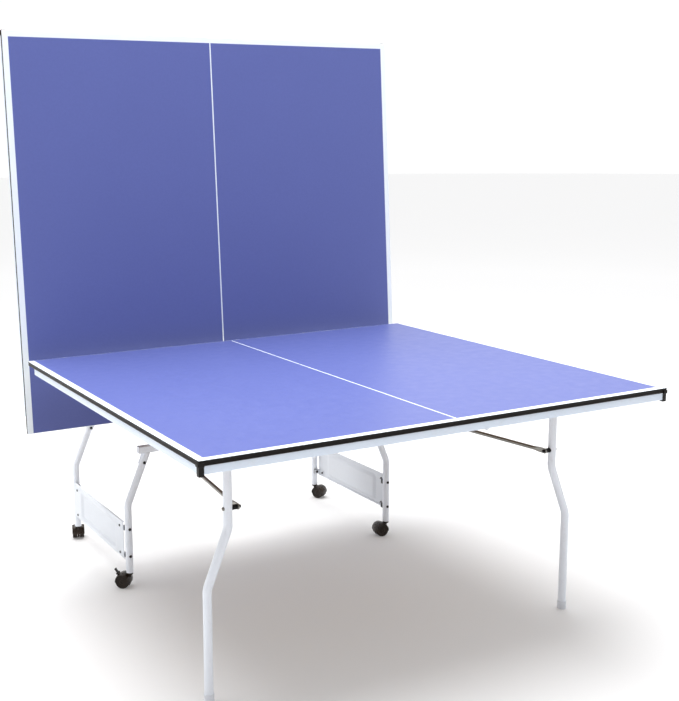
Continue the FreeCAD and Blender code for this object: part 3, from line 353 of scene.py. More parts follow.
class Shape:
    """A piece while its mesh is made out of closed skins."""

    def __init__(self):
        self.mesh = bmesh.new()

    def skin(self, rings, loop=False, finish=0):
        """Join each ring of points to the next, and close both ends unless they meet."""
        made = [[self.mesh.verts.new(point) for point in ring] for ring in rings]
        pairs = list(zip(made, made[1:])) + ([(made[-1], made[0])] if loop else [])
        faces = []
        for first, second in pairs:
            for index in range(len(first)):
                here, there = index - 1, index
                faces.append(self.mesh.faces.new((first[here], first[there],
                                                  second[there], second[here])))
        if not loop:
            faces.append(self.mesh.faces.new(reversed(made[0])))
            faces.append(self.mesh.faces.new(made[-1]))
        for face in faces:
            face.material_index = finish

    def turned(self, at, axis, profile, sides=28, finish=0):
        """A profile of (radius, height) turned about an axis through a point."""
        axis = Vector(axis).normalized()
        across = axis.orthogonal().normalized()
        other = axis.cross(across)
        rings = [circle(Vector(at) + axis * height, across, other, radius, sides)
                 for radius, height in profile]
        self.skin(rings, finish=finish)

    def extruded(self, outline, facing, low, high, edge=0.0005):
        """A flat outline given thickness, with a small bevel round both faces."""
        first, second = (Vector(way) for way in FACING[facing])
        along = first.cross(second)
        outline = [Vector(point) for point in outline]
        middle = sum(outline, Vector((0, 0))) / len(outline)
        rings = []
        for inset, height in ((edge, low), (0, low + edge), (0, high - edge), (edge, high)):
            ring = []
            for point in outline:
                towards = (middle - point).normalized() * inset
                u, v = point + towards
                ring.append(first * u + second * v + along * height)
            rings.append(ring)
        self.skin(rings)

    def tube(self, path, radius, depth, level=None):
        """A round tube, open to a depth at both ends. level is where the last is cut flat."""
        tangents = []
        for index in range(len(path)):
            before = path[max(index - 1, 0)]
            after = path[min(index + 1, len(path) - 1)]
            tangents.append((after - before).normalized())
        across = tangents[0].orthogonal().normalized()
        wall, lip = 0.0012, 0.0004
        stations = [(0, depth, radius - wall), (0, lip, radius - wall), (0, 0, radius - wall / 2),
                    (0, lip, radius)]
        stations += [(index, 0, radius) for index in range(1, len(path) - 1)]
        stations += [(-1, -lip, radius), (-1, 0, radius - wall / 2), (-1, -lip, radius - wall),
                     (-1, -depth, radius - wall)]
        rings = []
        for index, shift, size in stations:
            tangent = tangents[index]
            first = (across - tangent * across.dot(tangent)).normalized()
            second = tangent.cross(first)
            ring = circle(path[index], first, second, size, 36)
            if index == -1 and level is not None:
                ring = [point + tangent * (level - point.z) / tangent.z for point in ring]
            rings.append([point + tangent * shift for point in ring])
        self.skin(rings)

    def bead(self, start, end, radius=0.0022):
        """A weld bead: a string of small overlapping ripples."""
        start, end = Vector(start), Vector(end)
        run = end - start
        across = run.orthogonal().normalized()
        other = run.normalized().cross(across)
        steps = max(4, 4 * round(run.length / WELD_RIPPLE))
        rings = []
        for step in range(steps + 1):
            share = step / steps
            taper = min(1, 6 * share, 6 * (1 - share)) * 0.7 + 0.3
            size = radius * taper * (1 + 0.14 * math.sin(math.pi * step / 2))
            rings.append(circle(start + run * share, across, other, size, 8))
        self.skin(rings)

    def dome(self, at, axis, radius, height, finish=0):
        """A domed screw head with a driver's recess."""
        profile = [(radius * share, height * rise) for share, rise in (
            (0.96, 0), (1, 0.08), (1, 0.3), (0.96, 0.52), (0.85, 0.74), (0.66, 0.9), (0.45, 0.98),
            (0.36, 1), (0.3, 0.92), (0.22, 0.5))]
        self.turned(at, axis, profile, finish=finish)

    def nut(self, at, axis, radius, height, past=0.0015):
        """A chamfered hexagon nut with the end of its bolt showing."""
        sides = [(radius * 0.93, 0), (radius, height * 0.1), (radius, height * 0.84),
                 (radius * 0.87, height), (radius * 0.56, height)]
        self.turned(at, axis, sides, sides=6)
        thread = [(radius * 0.5, height * 0.5), (radius * 0.5, height + past * 0.6),
                  (radius * 0.4, height + past)]
        self.turned(at, axis, thread, sides=20)

    def collar(self, at, axis, radius, length, finish=0):
        """A plain turned sleeve, chamfered at both ends."""
        cut = min(0.0006, length / 5)
        profile = [(radius - cut, 0), (radius, cut),
                   (radius, length - cut), (radius - cut, length)]
        self.turned(at, axis, profile, finish=finish)

    def stand_for(self, node, place=Matrix(), finishes=None):
        """Finish the mesh as the piece that is seen in place of a CAD node."""
        name = node + "_look"
        bmesh.ops.recalc_face_normals(self.mesh, faces=self.mesh.faces)
        self.mesh.transform(place)
        data = bpy.data.meshes.new(name)
        self.mesh.to_mesh(data)
        self.mesh.free()
        data.polygons.foreach_set("use_smooth", [True] * len(data.polygons))
        data.set_sharp_from_angle(angle=math.radians(SHARP))
        for finish in finishes or [finish_of(node)]:
            data.materials.append(finish)
        item = put_in_scene(name, data)
        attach(item, BODY_OF[node])
        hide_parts(node)


def arc(centre, radius, start, end, steps=16):
    """Points on an arc, its angles in degrees."""
    points = []
    for step in range(steps + 1):
        angle = math.radians(start + (end - start) * step / steps)
        points.append(Vector((centre[0] + radius * math.cos(angle),
                              centre[1] + radius * math.sin(angle))))
    return points


# ---- the halves ----

UNDER = BOARD_LOW.z
BAND_DEPTH = 0.002
RAIL_LOW, RAIL_HIGH = level_box("front_end_rail")
RAIL_CORNER = Vector((RAIL_HIGH.x, RAIL_HIGH.y))
SIDE_RAIL_LOW, _ = level_box("front_left_rail")
CAP_LOW, CAP_HIGH = level_box("front_corner_caps")
BEAM_LOW, BEAM_HIGH = level_box("front_hinge_beam")
HANGER_LOW, HANGER_HIGH = level_box("front_leg_hangers")
EAR_X = 0.370
EAR = 0.005
EAR_RADIUS = 0.025
BEAM_HALF = 0.015
BEAM_DEEP = 0.020
HANGER_X = 0.300
HANGER_RADIUS = 0.017
HANGER_FOOT = 0.004
RAIL_SHEET = 0.0015
SCREW_INSET = 0.015
END_SCREW = 0.082
BEAM_SCREWS = (-0.6, -0.2, 0.2, 0.6)
HINGE = half_matrix("front").inverted() @ Vector(JOINTS["front_legs_swing"]["pos_m"])


def edge_band(half):
    """A moulded band round the board, with rounded edges and a groove along its middle."""
    thick = BOARD_HIGH.z - UNDER
    middle = thick / 2
    side = rounded_loop([
        (-BAND_DEPTH, 0, 0.0002), (0, 0, 0.0014), (0, middle - 0.002, 0.0003),
        (-0.0007, middle - 0.0017, 0.0002), (-0.0007, middle + 0.0017, 0.0002),
        (0, middle + 0.002, 0.0003), (0, thick, 0.0012), (-BAND_DEPTH, thick, 0.0002)])
    corner_radius = 0.003
    rings = []
    for turn, (x, y) in ((0, (BOARD_HIGH.x, BOARD_HIGH.y)), (90, (BOARD_LOW.x, BOARD_HIGH.y)),
                         (180, (BOARD_LOW.x, BOARD_LOW.y)), (270, (BOARD_HIGH.x, BOARD_LOW.y))):
        centre = Vector((x - math.copysign(corner_radius, x),
                         y - corner_radius if y > 0 else y + corner_radius))
        for step in range(6):
            angle = math.radians(turn + 18 * step)
            ring = []
            for out, height in side:
                reach = corner_radius + out
                ring.append(Vector((centre.x + reach * math.cos(angle),
                                    centre.y + reach * math.sin(angle), UNDER + height)))
            rings.append(ring)
    shape = Shape()
    shape.skin(rings, loop=True)
    shape.stand_for(half + "_edge_band", half_matrix(half), [FINISHES["edge_band_" + half]])


def channel_section():
    """The bent sheet of a rail: (distance in from its face, height under the board)."""
    deep, tall, sheet, lip = 0.022, UNDER - RAIL_LOW.z, RAIL_SHEET, 0.010
    return rounded_loop([
        (0, 0, 0.0022), (0, -tall, 0.0022), (-lip, -tall, 0.0004), (-lip, sheet - tall, 0.0004),
        (-sheet, sheet - tall, 0.0007), (-sheet, -sheet, 0.0007), (-deep, -sheet, 0.0004),
        (-deep, 0, 0.0004)])


def rails(half):
    """Three channels under the board's edges, mitred where they meet."""
    section = channel_section()

    def mitre(towards):
        return [Vector((towards * (RAIL_CORNER.x + out), RAIL_CORNER.y + out, UNDER + height))
                for out, height in section]

    for name, side in SIDES.items():
        towards = -side if half == "front" else side
        near = [Vector((towards * (RAIL_CORNER.x + out), SIDE_RAIL_LOW.y, UNDER + height))
                for out, height in section]
        shape = Shape()
        shape.skin([near, mitre(towards)])
        shape.stand_for("%s_%s_rail" % (half, name), half_matrix(half))
    shape = Shape()
    shape.skin([mitre(-1), mitre(1)])
    shape.stand_for(half + "_end_rail", half_matrix(half))


def corner_caps(half):
    """Soft mouldings round the two outer corners, which lap up over the edge band."""
    leg = 0.011
    sole = UNDER - CAP_LOW.z
    tall = UNDER - RAIL_LOW.z
    lap = CAP_HIGH.z - UNDER
    wall, step = 0.0025, CAP_HIGH.x - RAIL_CORNER.x
    section = rounded_loop([
        (0, -sole, 0.0004), (wall, -sole, 0.0012), (wall, -0.0025, 0.0012),
        (step, -0.0015, 0.0014), (step, lap, 0.0024), (step - wall, lap, 0.0005),
        (step - wall, 0, 0.0003), (0, 0, 0.0003)])
    shape = Shape()
    for towards in (-1, 1):
        rings = [[Vector((towards * (RAIL_CORNER.x + out), RAIL_CORNER.y - leg, UNDER + height))
                  for out, height in section]]
        for angle in range(0, 91, 9):
            across, along = math.cos(math.radians(angle)), math.sin(math.radians(angle))
            rings.append([Vector((towards * (RAIL_CORNER.x + max(out, 0.0001) * across),
                                  RAIL_CORNER.y + max(out, 0.0001) * along, UNDER + height))
                          for out, height in section])
        rings.append([Vector((towards * (RAIL_CORNER.x - leg), RAIL_CORNER.y + out,
                              UNDER + height)) for out, height in section])
        shape.skin(rings)
        across = sorted((towards * (RAIL_CORNER.x - leg), towards * (RAIL_CORNER.x + 0.0004)))
        shape.extruded(rounded_box(*across, RAIL_CORNER.y - leg, RAIL_CORNER.y + 0.0004, 0.002),
                       "Z", CAP_LOW.z, UNDER - tall)
    shape.stand_for(half + "_corner_caps", half_matrix(half))


def hinge_beam(half):
    """A rounded box tube across the half, with two ears welded under it for the pivots."""
    low = UNDER - BEAM_DEEP
    shape = Shape()
    shape.extruded(rounded_box(-BEAM_HALF, BEAM_HALF, low, UNDER, 0.003), "X",
                   BEAM_LOW.x, BEAM_HIGH.x)
    ear = [(-EAR_RADIUS, low), (-EAR_RADIUS, 0)]
    ear += arc((0, 0), EAR_RADIUS, 180, 360)[1:] + [(EAR_RADIUS, low)]
    for side in (-1, 1):
        span = sorted((side * EAR_X, side * (EAR_X + EAR)))
        shape.extruded(ear, "X", *span)
        for x in span:
            shape.bead((x, -BEAM_HALF, low), (x, BEAM_HALF, low))
    shape.stand_for(half + "_hinge_beam", half_matrix(half))


def leg_hangers(half):
    """Two flat plates with feet screwed to the board, which the hinge tube turns in."""
    foot = UNDER - HANGER_FOOT
    web = [(HINGE.y - HANGER_RADIUS, foot), (HINGE.y - HANGER_RADIUS, HINGE.z)]
    web += arc((HINGE.y, HINGE.z), HANGER_RADIUS, 180, 360)[1:]
    web += [(HINGE.y + HANGER_RADIUS, foot)]
    shape = Shape()
    for side in (-1, 1):
        middle = side * HANGER_X
        shape.extruded(web, "X", middle - EAR / 2, middle + EAR / 2)
        shape.extruded(rounded_box(middle - 0.015, middle + 0.015, HANGER_LOW.y, HANGER_HIGH.y,
                                   0.004), "Z", foot, UNDER)
        for face in (-1, 1):
            x = middle + face * EAR / 2
            shape.bead((x, HINGE.y - 0.014, foot), (x, HINGE.y + 0.014, foot))
    shape.stand_for(half + "_leg_hangers", half_matrix(half))


def board_screws(half):
    """Pan heads under the rails' flanges, the hangers' feet and the hinge beam."""
    shape = Shape()
    flange = UNDER - RAIL_SHEET
    inset = RAIL_CORNER.x - SCREW_INSET
    first = SIDE_RAIL_LOW.y + 0.040
    last = RAIL_CORNER.y - END_SCREW
    places = []
    for step in range(5):
        y = first + (last - first) * step / 4
        places += [(side * inset, y, flange) for side in (-1, 1)]
        x = (RAIL_CORNER.x - END_SCREW) * (step - 2) / 2
        places.append((x, RAIL_CORNER.y - SCREW_INSET, flange))
    for side in (-1, 1):
        for along in (-0.025, 0.025):
            for across in (-0.009, 0.009):
                places.append((side * HANGER_X + across, HINGE.y + along, UNDER - HANGER_FOOT))
    places += [(x, 0, UNDER - BEAM_DEEP) for x in BEAM_SCREWS]
    for place in places:
        shape.dome(place, (0, 0, -1), 0.0035, 0.0022)
    shape.stand_for(half + "_board_screws", half_matrix(half))


# ---- end legs and links ----

TUBE_RADIUS = 0.0125
LEG_BEND = 0.060
LEG_KNEE = 0.320
LEG_HIP = 0.480
LEG_LOW, LEG_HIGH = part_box("front_leg_right")
LEG_FOOT_X = LEG_HIGH.x - TUBE_RADIUS
LEG_TOP_X = LEG_LOW.x + TUBE_RADIUS
LEG_Y = JOINTS["front_legs_swing"]["pos_m"][1]
HINGE_TUBE_Z = JOINTS["front_legs_swing"]["pos_m"][2]
LINK_BOLT_Z = HINGE_TUBE_Z - 0.115
LINK_LEG_X = 0.530
LINK_PIN_X = 0.415
LINK_PLATE = 0.004
PLAY = 0.0003


def leg_frame(half):
    """From the front leg frame's place to this half's."""
    here = Vector(JOINTS[half + "_legs_swing"]["pos_m"])
    return Matrix.Translation(here - Vector(JOINTS["front_legs_swing"]["pos_m"]))


def end_legs(half):
    for name, side in SIDES.items():
        corners = [(side * x, LEG_Y, z) for x, z in (
            (LEG_FOOT_X, LEG_LOW.z), (LEG_FOOT_X, LEG_KNEE),
            (LEG_TOP_X, LEG_HIP), (LEG_TOP_X, LEG_HIGH.z))]
        shape = Shape()
        shape.tube(rounded_path(corners, LEG_BEND), TUBE_RADIUS, depth=0.012)
        shape.stand_for("%s_leg_%s" % (half, name), leg_frame(half))


def hinge_tube(half):
    """The tube between the two legs, welded to them all round."""
    reach = LEG_TOP_X - 0.006
    shape = Shape()
    path = [Vector((x, LEG_Y, HINGE_TUBE_Z)) for x in (-reach, 0, reach)]
    shape.tube(path, TUBE_RADIUS, depth=0.004)
    for side in (-1, 1):
        ring = []
        for step in range(49):
            angle = 2 * math.pi * step / 48
            y, z = TUBE_RADIUS * math.cos(angle), TUBE_RADIUS * math.sin(angle)
            saddle = math.sqrt(max(TUBE_RADIUS ** 2 - y ** 2, 0))
            ring.append(Vector((side * (LEG_TOP_X - saddle * 0.9), LEG_Y + y * 0.98,
                                HINGE_TUBE_Z + z)))
        for start, end in zip(ring[::3], ring[3::3]):
            shape.bead(start, end, 0.0017)
    shape.stand_for(half + "_hinge_tube", leg_frame(half))


def foot_caps(half):
    """Moulded feet with a rounded sole, a shallow waist and a rolled top edge."""
    _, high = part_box("front_foot_caps")
    tall, radius = high.z, high.x - LEG_FOOT_X
    profile = [(radius - 0.0032, 0), (radius - 0.0016, 0.0005), (radius - 0.0004, 0.002),
               (radius, 0.004), (radius, 0.0075), (radius - 0.0006, 0.0085),
               (radius - 0.0006, tall - 0.0055), (radius, tall - 0.0045), (radius, tall - 0.001),
               (radius - 0.0005, tall), (TUBE_RADIUS + 0.0002, tall)]
    shape = Shape()
    for side in (-1, 1):
        shape.turned((side * LEG_FOOT_X, LEG_Y, 0), (0, 0, 1), profile, 40)
    shape.stand_for(half + "_foot_caps", leg_frame(half))


def leg_bolts(half):
    """A black spacer between leg and link, a small zinc dome outside and a nut inside."""
    shape = Shape()
    for side in (-1, 1):
        axis = Vector((side, 0, 0))
        face, inner, near = (Vector((side * x, LEG_Y, LINK_BOLT_Z)) for x in (
            LEG_TOP_X + TUBE_RADIUS, LINK_LEG_X + LINK_PLATE + PLAY, LINK_LEG_X - PLAY))
        shape.turned(inner, axis, [(0.0058, 0), (0.0068, 0.0008), (0.007, 0.002),
                                   (0.007, 0.0125), (0.0078, 0.0145), (0.0078, 0.0185)], 36)
        shape.collar(face - axis * 0.001, axis, 0.0055, 0.0018, finish=1)
        shape.dome(face + axis * 0.0008, axis, 0.0048, 0.0038, finish=1)
        shape.collar(near, -axis, 0.0055, 0.001)
        shape.nut(near - axis * 0.001, -axis, 0.005, 0.004)
    finishes = [FINISHES["link_bolt"], FINISHES["zinc_steel"]]
    shape.stand_for(half + "_leg_bolts", leg_frame(half), finishes)


def flat_to_round(share, sides=28):
    """A section between a flat bar's (share 0) and a round bar's (share 1), unit half sizes."""
    power = 2 + 10 * (1 - share) ** 3
    ring = []
    for side in range(sides):
        angle = 2 * math.pi * (side + 0.5) / sides
        size = (abs(math.cos(angle)) ** power + abs(math.sin(angle)) ** power) ** (-1 / power)
        ring.append((size * math.cos(angle), size * math.sin(angle)))
    return ring


def links(half):
    """Round bars whose ends are pressed flat and rounded off about their eyes."""
    radius, eye, flat = 0.006, 0.0085, 0.022
    blend_start, blend, margin = flat - 0.008, 0.034, 0.008
    matrix = half_matrix(half)
    drop = Vector(JOINTS[half + "_link_left_swing"]["pos_m"]) - matrix.translation
    place = Matrix.Translation(drop) @ matrix
    for name, side in SIDES.items():
        towards = -side if half == "front" else side
        start = Vector((towards * (LINK_PIN_X + LINK_PLATE / 2), 0, 0))
        end = Vector((towards * (LINK_LEG_X + LINK_PLATE / 2), HINGE.y, HINGE.z))
        run = end - start
        stations = []
        for step in range(9):
            bow = math.radians(90 * step / 8)
            stations.append((-eye * math.cos(bow), eye * max(math.sin(bow), 0.12),
                             LINK_PLATE / 2, 0))
        for share in (0, 0.12, 0.3, 0.5, 0.7, 0.88, 1):
            eased = smooth(share)
            stations.append((blend_start + blend * share, eye + (radius - eye) * eased,
                             LINK_PLATE / 2 + (radius - LINK_PLATE / 2) * eased, eased))
        whole = [(*station, False) for station in stations]
        whole += [(*station, True) for station in reversed(stations)]
        rings = []
        bar_start, bar_end = flat / 2 + margin, run.y - flat / 2 - margin
        for along, tall, thick, share, far in whole:
            y = run.y - along if far else along
            lean = min(max((y - bar_start) / (bar_end - bar_start), 0), 1)
            rise = min(max(y / run.y, 0), 1)
            middle = Vector((start.x + run.x * lean, y, start.z + run.z * rise))
            rings.append([middle + Vector((u * thick, 0, v * tall))
                          for u, v in flat_to_round(share)])
        shape = Shape()
        shape.skin(rings)
        shape.stand_for("%s_link_%s" % (half, name), place)


# ---- the undercarriage ----

NET_Y = (JOINTS["front_fold"]["pos_m"][1] + JOINTS["rear_fold"]["pos_m"][1]) / 2
PIVOT_Z = JOINTS["front_fold"]["pos_m"][2]
LINK_PIN_Z = JOINTS["front_link_left_swing"]["pos_m"][2]
PIVOT_OUT = JOINTS["rear_fold"]["pos_m"][1] - NET_Y
STEM = Vector(JOINTS["caster_rear_right_swivel"]["pos_m"])
WHEEL_LEG_X = STEM.x
WHEEL_LEG_OUT = STEM.y - NET_Y
WHEEL_LEG_KNEE = 0.290
WHEEL_LEG_LEAN = 0.076 / 0.180
RAIL_TUBE_LOW, RAIL_TUBE_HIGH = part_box("side_rail_right")
CROSS_LOW, CROSS_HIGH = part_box("cross_tubes")
CROSS_HALF = 0.012
PLATE_X = 0.3845
PLATE_FOOT = 0.004
PLATE_HALF = 0.045
PIN_HEAD = 0.008
TAB_HALF = 0.011
TAB_SHEET = 0.003
BRACKET_OUT = 0.2455
PANEL_SCREW_OUT = 0.218
BOLT_HEIGHTS = (0.112, 0.207)
TAB_BOLT_Z = 0.430
TAB_BOLT_X = WHEEL_LEG_X - WHEEL_LEG_LEAN * (TAB_BOLT_Z - WHEEL_LEG_KNEE)
ENDS = {"front": -1, "rear": 1}


def wheel_legs():
    for place, end in ENDS.items():
        for name, side in SIDES.items():
            y = NET_Y + end * WHEEL_LEG_OUT
            top = RAIL_TUBE_LOW.z
            lean = WHEEL_LEG_LEAN * (top - WHEEL_LEG_KNEE)
            corners = [(side * x, y, z) for x, z in (
                (WHEEL_LEG_X, STEM.z), (WHEEL_LEG_X, WHEEL_LEG_KNEE), (WHEEL_LEG_X - lean, top))]
            shape = Shape()
            shape.tube(rounded_path(corners, LEG_BEND), TUBE_RADIUS, depth=0.008, level=top)
            shape.stand_for("wheel_leg_%s_%s" % (place, name))


def box_frame():
    """The side rails and cross tubes, with the tabs that hang down to the legs."""
    for name, side in SIDES.items():
        low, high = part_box("side_rail_" + name)
        shape = Shape()
        outline = rounded_box(low.z, high.z, low.x, high.x, 0.003)
        shape.extruded(outline, "Y", low.y, high.y)
        for end, y in ((-1, low.y), (1, high.y)):
            for z in (low.z, high.z):
                shape.bead((low.x + 0.003, y, z), (high.x - 0.003, y, z), 0.0019)
        shape.stand_for("side_rail_" + name)
    shape = Shape()
    plugs = Shape()
    for end in ENDS.values():
        y = NET_Y + end * WHEEL_LEG_OUT
        low, high = RAIL_TUBE_LOW.z, RAIL_TUBE_HIGH.z
        outline = rounded_box(y - CROSS_HALF, y + CROSS_HALF, low, high, 0.003)
        shape.extruded(outline, "X", CROSS_LOW.x, CROSS_HIGH.x)
        face = y - end * (TUBE_RADIUS + 0.0002)
        span = sorted((face - end * TAB_SHEET, face))
        for side in (-1, 1):
            upper, lower = (side * (WHEEL_LEG_X - WHEEL_LEG_LEAN * (z - WHEEL_LEG_KNEE))
                            for z in (low, CROSS_LOW.z))
            tab = rounded_loop([(CROSS_LOW.z, lower - TAB_HALF, 0.005),
                                (CROSS_LOW.z, lower + TAB_HALF, 0.005),
                                (low + 0.001, upper + TAB_HALF, 0.0003),
                                (low + 0.001, upper - TAB_HALF, 0.0003)])
            shape.extruded(tab, "Y", *span)
            shape.bead((upper - 0.010, face - end * TAB_SHEET, low),
                       (upper + 0.010, face - end * TAB_SHEET, low), 0.002)
            cap = rounded_box(y - CROSS_HALF, y + CROSS_HALF, low, high, 0.0032)
            reach = sorted((side * CROSS_HIGH.x, side * (CROSS_HIGH.x + 0.003)))
            plugs.extruded(cap, "X", *reach, edge=0.0011)
    shape.stand_for("cross_tubes")
    plugs.stand_for("tube_plugs")


def pivot_plates():
    """Tapered plates on feet, round-headed at the pivots."""
    for place, end in ENDS.items():
        middle = NET_Y + end * PIVOT_OUT
        foot = RAIL_TUBE_HIGH.z
        top = foot + PLATE_FOOT
        web = [(middle - PLATE_HALF, top), (middle + PLATE_HALF, top)]
        web += arc((middle, PIVOT_Z), 0.025, 3, 177)
        for name, side in SIDES.items():
            low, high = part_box("side_rail_" + name)
            shape = Shape()
            span = sorted((side * PLATE_X, side * (PLATE_X + EAR)))
            shape.extruded(web, "X", *span)
            shape.extruded(rounded_box(low.x + 0.0005, high.x - 0.0005, middle - PLATE_HALF,
                                       middle + PLATE_HALF, 0.005), "Z", foot, top)
            for x in span:
                shape.bead((x, middle - 0.042, top), (x, middle + 0.042, top), 0.0026)
            shape.stand_for("pivot_plate_%s_%s" % (place, name))


def pivot_bolts():
    """Domed pins, sleeves and lock nuts on the four pivots and the four links' pins."""
    shape = Shape()
    for side in (-1, 1):
        axis = Vector((side, 0, 0))
        for end in ENDS.values():
            y = NET_Y + end * PIVOT_OUT

            def at(x, z):
                return Vector((side * x, y, z))

            shape.dome(at(EAR_X - PLAY, PIVOT_Z), -axis, PIN_HEAD, 0.005)
            shape.collar(at(EAR_X + EAR + PLAY, PIVOT_Z), axis, PIN_HEAD,
                         PLATE_X - EAR_X - EAR - PLAY)
            shape.collar(at(PLATE_X + EAR, PIVOT_Z), axis, PIN_HEAD, 0.0012)
            shape.nut(at(PLATE_X + EAR + 0.0012, PIVOT_Z), axis, 0.0075, 0.0036, 0.0002)
            shape.dome(at(PLATE_X, LINK_PIN_Z), -axis, PIN_HEAD, 0.005)
            shape.collar(at(PLATE_X + EAR, LINK_PIN_Z), axis, PIN_HEAD,
                         LINK_PIN_X - PLATE_X - EAR - PLAY)
            past = LINK_PIN_X + LINK_PLATE
            shape.collar(at(past + PLAY, LINK_PIN_Z), axis, PIN_HEAD, 0.0012)
            shape.nut(at(past + 0.0015, LINK_PIN_Z), axis, 0.0075, 0.0035, 0.0002)
    shape.stand_for("pivot_bolts")


def frame_bolts():
    """Black bolts through the legs and dark screws in the side panels."""
    shape = Shape()
    panel_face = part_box("side_panel_right")[1].x
    for side in (-1, 1):
        for end in ENDS.values():
            out = Vector((0, end, 0))
            leg_face = NET_Y + end * (WHEEL_LEG_OUT + TUBE_RADIUS)
            bracket = NET_Y + end * BRACKET_OUT
            tab = NET_Y + end * (WHEEL_LEG_OUT - TUBE_RADIUS - 0.0032)
            spots = [(WHEEL_LEG_X, height, bracket) for height in BOLT_HEIGHTS]
            spots.append((TAB_BOLT_X, TAB_BOLT_Z, tab))
            for x, height, back in spots:
                head = Vector((side * x, leg_face, height))
                shape.collar(head - out * 0.0012, out, 0.0052, 0.0016)
                shape.dome(head + out * 0.0004, out, 0.0045, 0.0034)
                shape.nut(Vector((side * x, back, height)), -out, 0.0052, 0.0038)
            for height in BOLT_HEIGHTS:
                screw = Vector((side * panel_face, NET_Y + end * PANEL_SCREW_OUT, height))
                outward = Vector((side, 0, 0))
                shape.dome(screw, outward, 0.0045, 0.0025)
                shape.nut(screw - outward * 0.0032, -outward, 0.0045, 0.0032)
                shape.collar(screw - outward * 0.0096, outward, 0.002, 0.006)
    shape.stand_for("frame_bolts", finishes=[FINISHES["blackened"]])


def side_panels():
    """A pressed sheet: a narrow flange above and below, and a field sunk in by wide slopes."""
    flange, sheet, bend, deep = 0.006, 0.0015, 0.003, 0.006
    row, column = 0.003, 0.004
    half_long, end_slope, above, upper_slope, below, lower_slope = (
        0.182, 0.020, 0.013, 0.020, 0.012, 0.009)
    for name, side in SIDES.items():
        low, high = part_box("side_panel_" + name)
        face = high.x if side > 0 else -low.x
        tall = high.z - low.z
        outline = [(face - flange, low.z), (face - flange * 0.8, low.z)]
        outline += [(face - bend + bend * math.sin(turn), low.z + bend - bend * math.cos(turn))
                    for turn in (math.radians(15 * step) for step in range(7))]
        border = outline[:]
        rows = round((tall - 2 * bend) / row)
        outline += [(face, low.z + bend + (tall - 2 * bend) * step / rows)
                    for step in range(1, rows)]
        outline += [(x, low.z + high.z - z) for x, z in reversed(border)]
        columns = round((high.y - low.y) / column)
        rings = []
        for step in range(columns + 1):
            y = low.y + (high.y - low.y) * step / columns
            outer, inner = [], []
            for index, (x, z) in enumerate(outline):
                rises = ((half_long - abs(y - NET_Y)) / end_slope,
                         (high.z - above - z) / upper_slope,
                         (z - low.z - below) / lower_slope)
                short = math.sqrt(sum(max(1 - rise, 0) ** 2 for rise in rises))
                sunk = deep * smooth(max(1 - short, 0)) if x > face - 1e-6 else 0
                before = Vector(outline[max(index - 1, 0)])
                after = Vector(outline[min(index + 1, len(outline) - 1)])
                way = (after - before).normalized()
                outer.append(Vector((side * (x - sunk), y, z)))
                inner.append(Vector((side * (x - sunk - way.y * sheet), y, z + way.x * sheet)))
            rings.append(outer + inner[::-1])
        shape = Shape()
        shape.skin(rings)
        shape.stand_for("side_panel_" + name)


# ---- the casters ----

WHEEL_RADIUS = 0.024
WHEEL_PAD = 0.0215
WHEEL_GAP = 0.005
TRAIL = 0.022
HOOD_HALF = 0.023
HOOD_INNER = 0.025
HOOD_OUTER = 0.0275
LEVER_REACH = 0.0311
LEVER_ANGLE = math.radians(50)
LEVER_SLOPE = math.radians(58)
CORNERS = ["%s_%s" % (place, name) for place in ENDS for name in SIDES]


def caster_matrix(corner):
    """A caster's frame: on the floor under its stem, +X towards its wheels."""
    stem = Vector(JOINTS["caster_%s_swivel" % corner]["pos_m"])
    axle = Vector(JOINTS["caster_%s_roll" % corner]["pos_m"])
    heading = math.atan2(axle.y - stem.y, axle.x - stem.x)
    return Matrix.Translation((stem.x, stem.y, 0)) @ Matrix.Rotation(heading, 4, "Z")


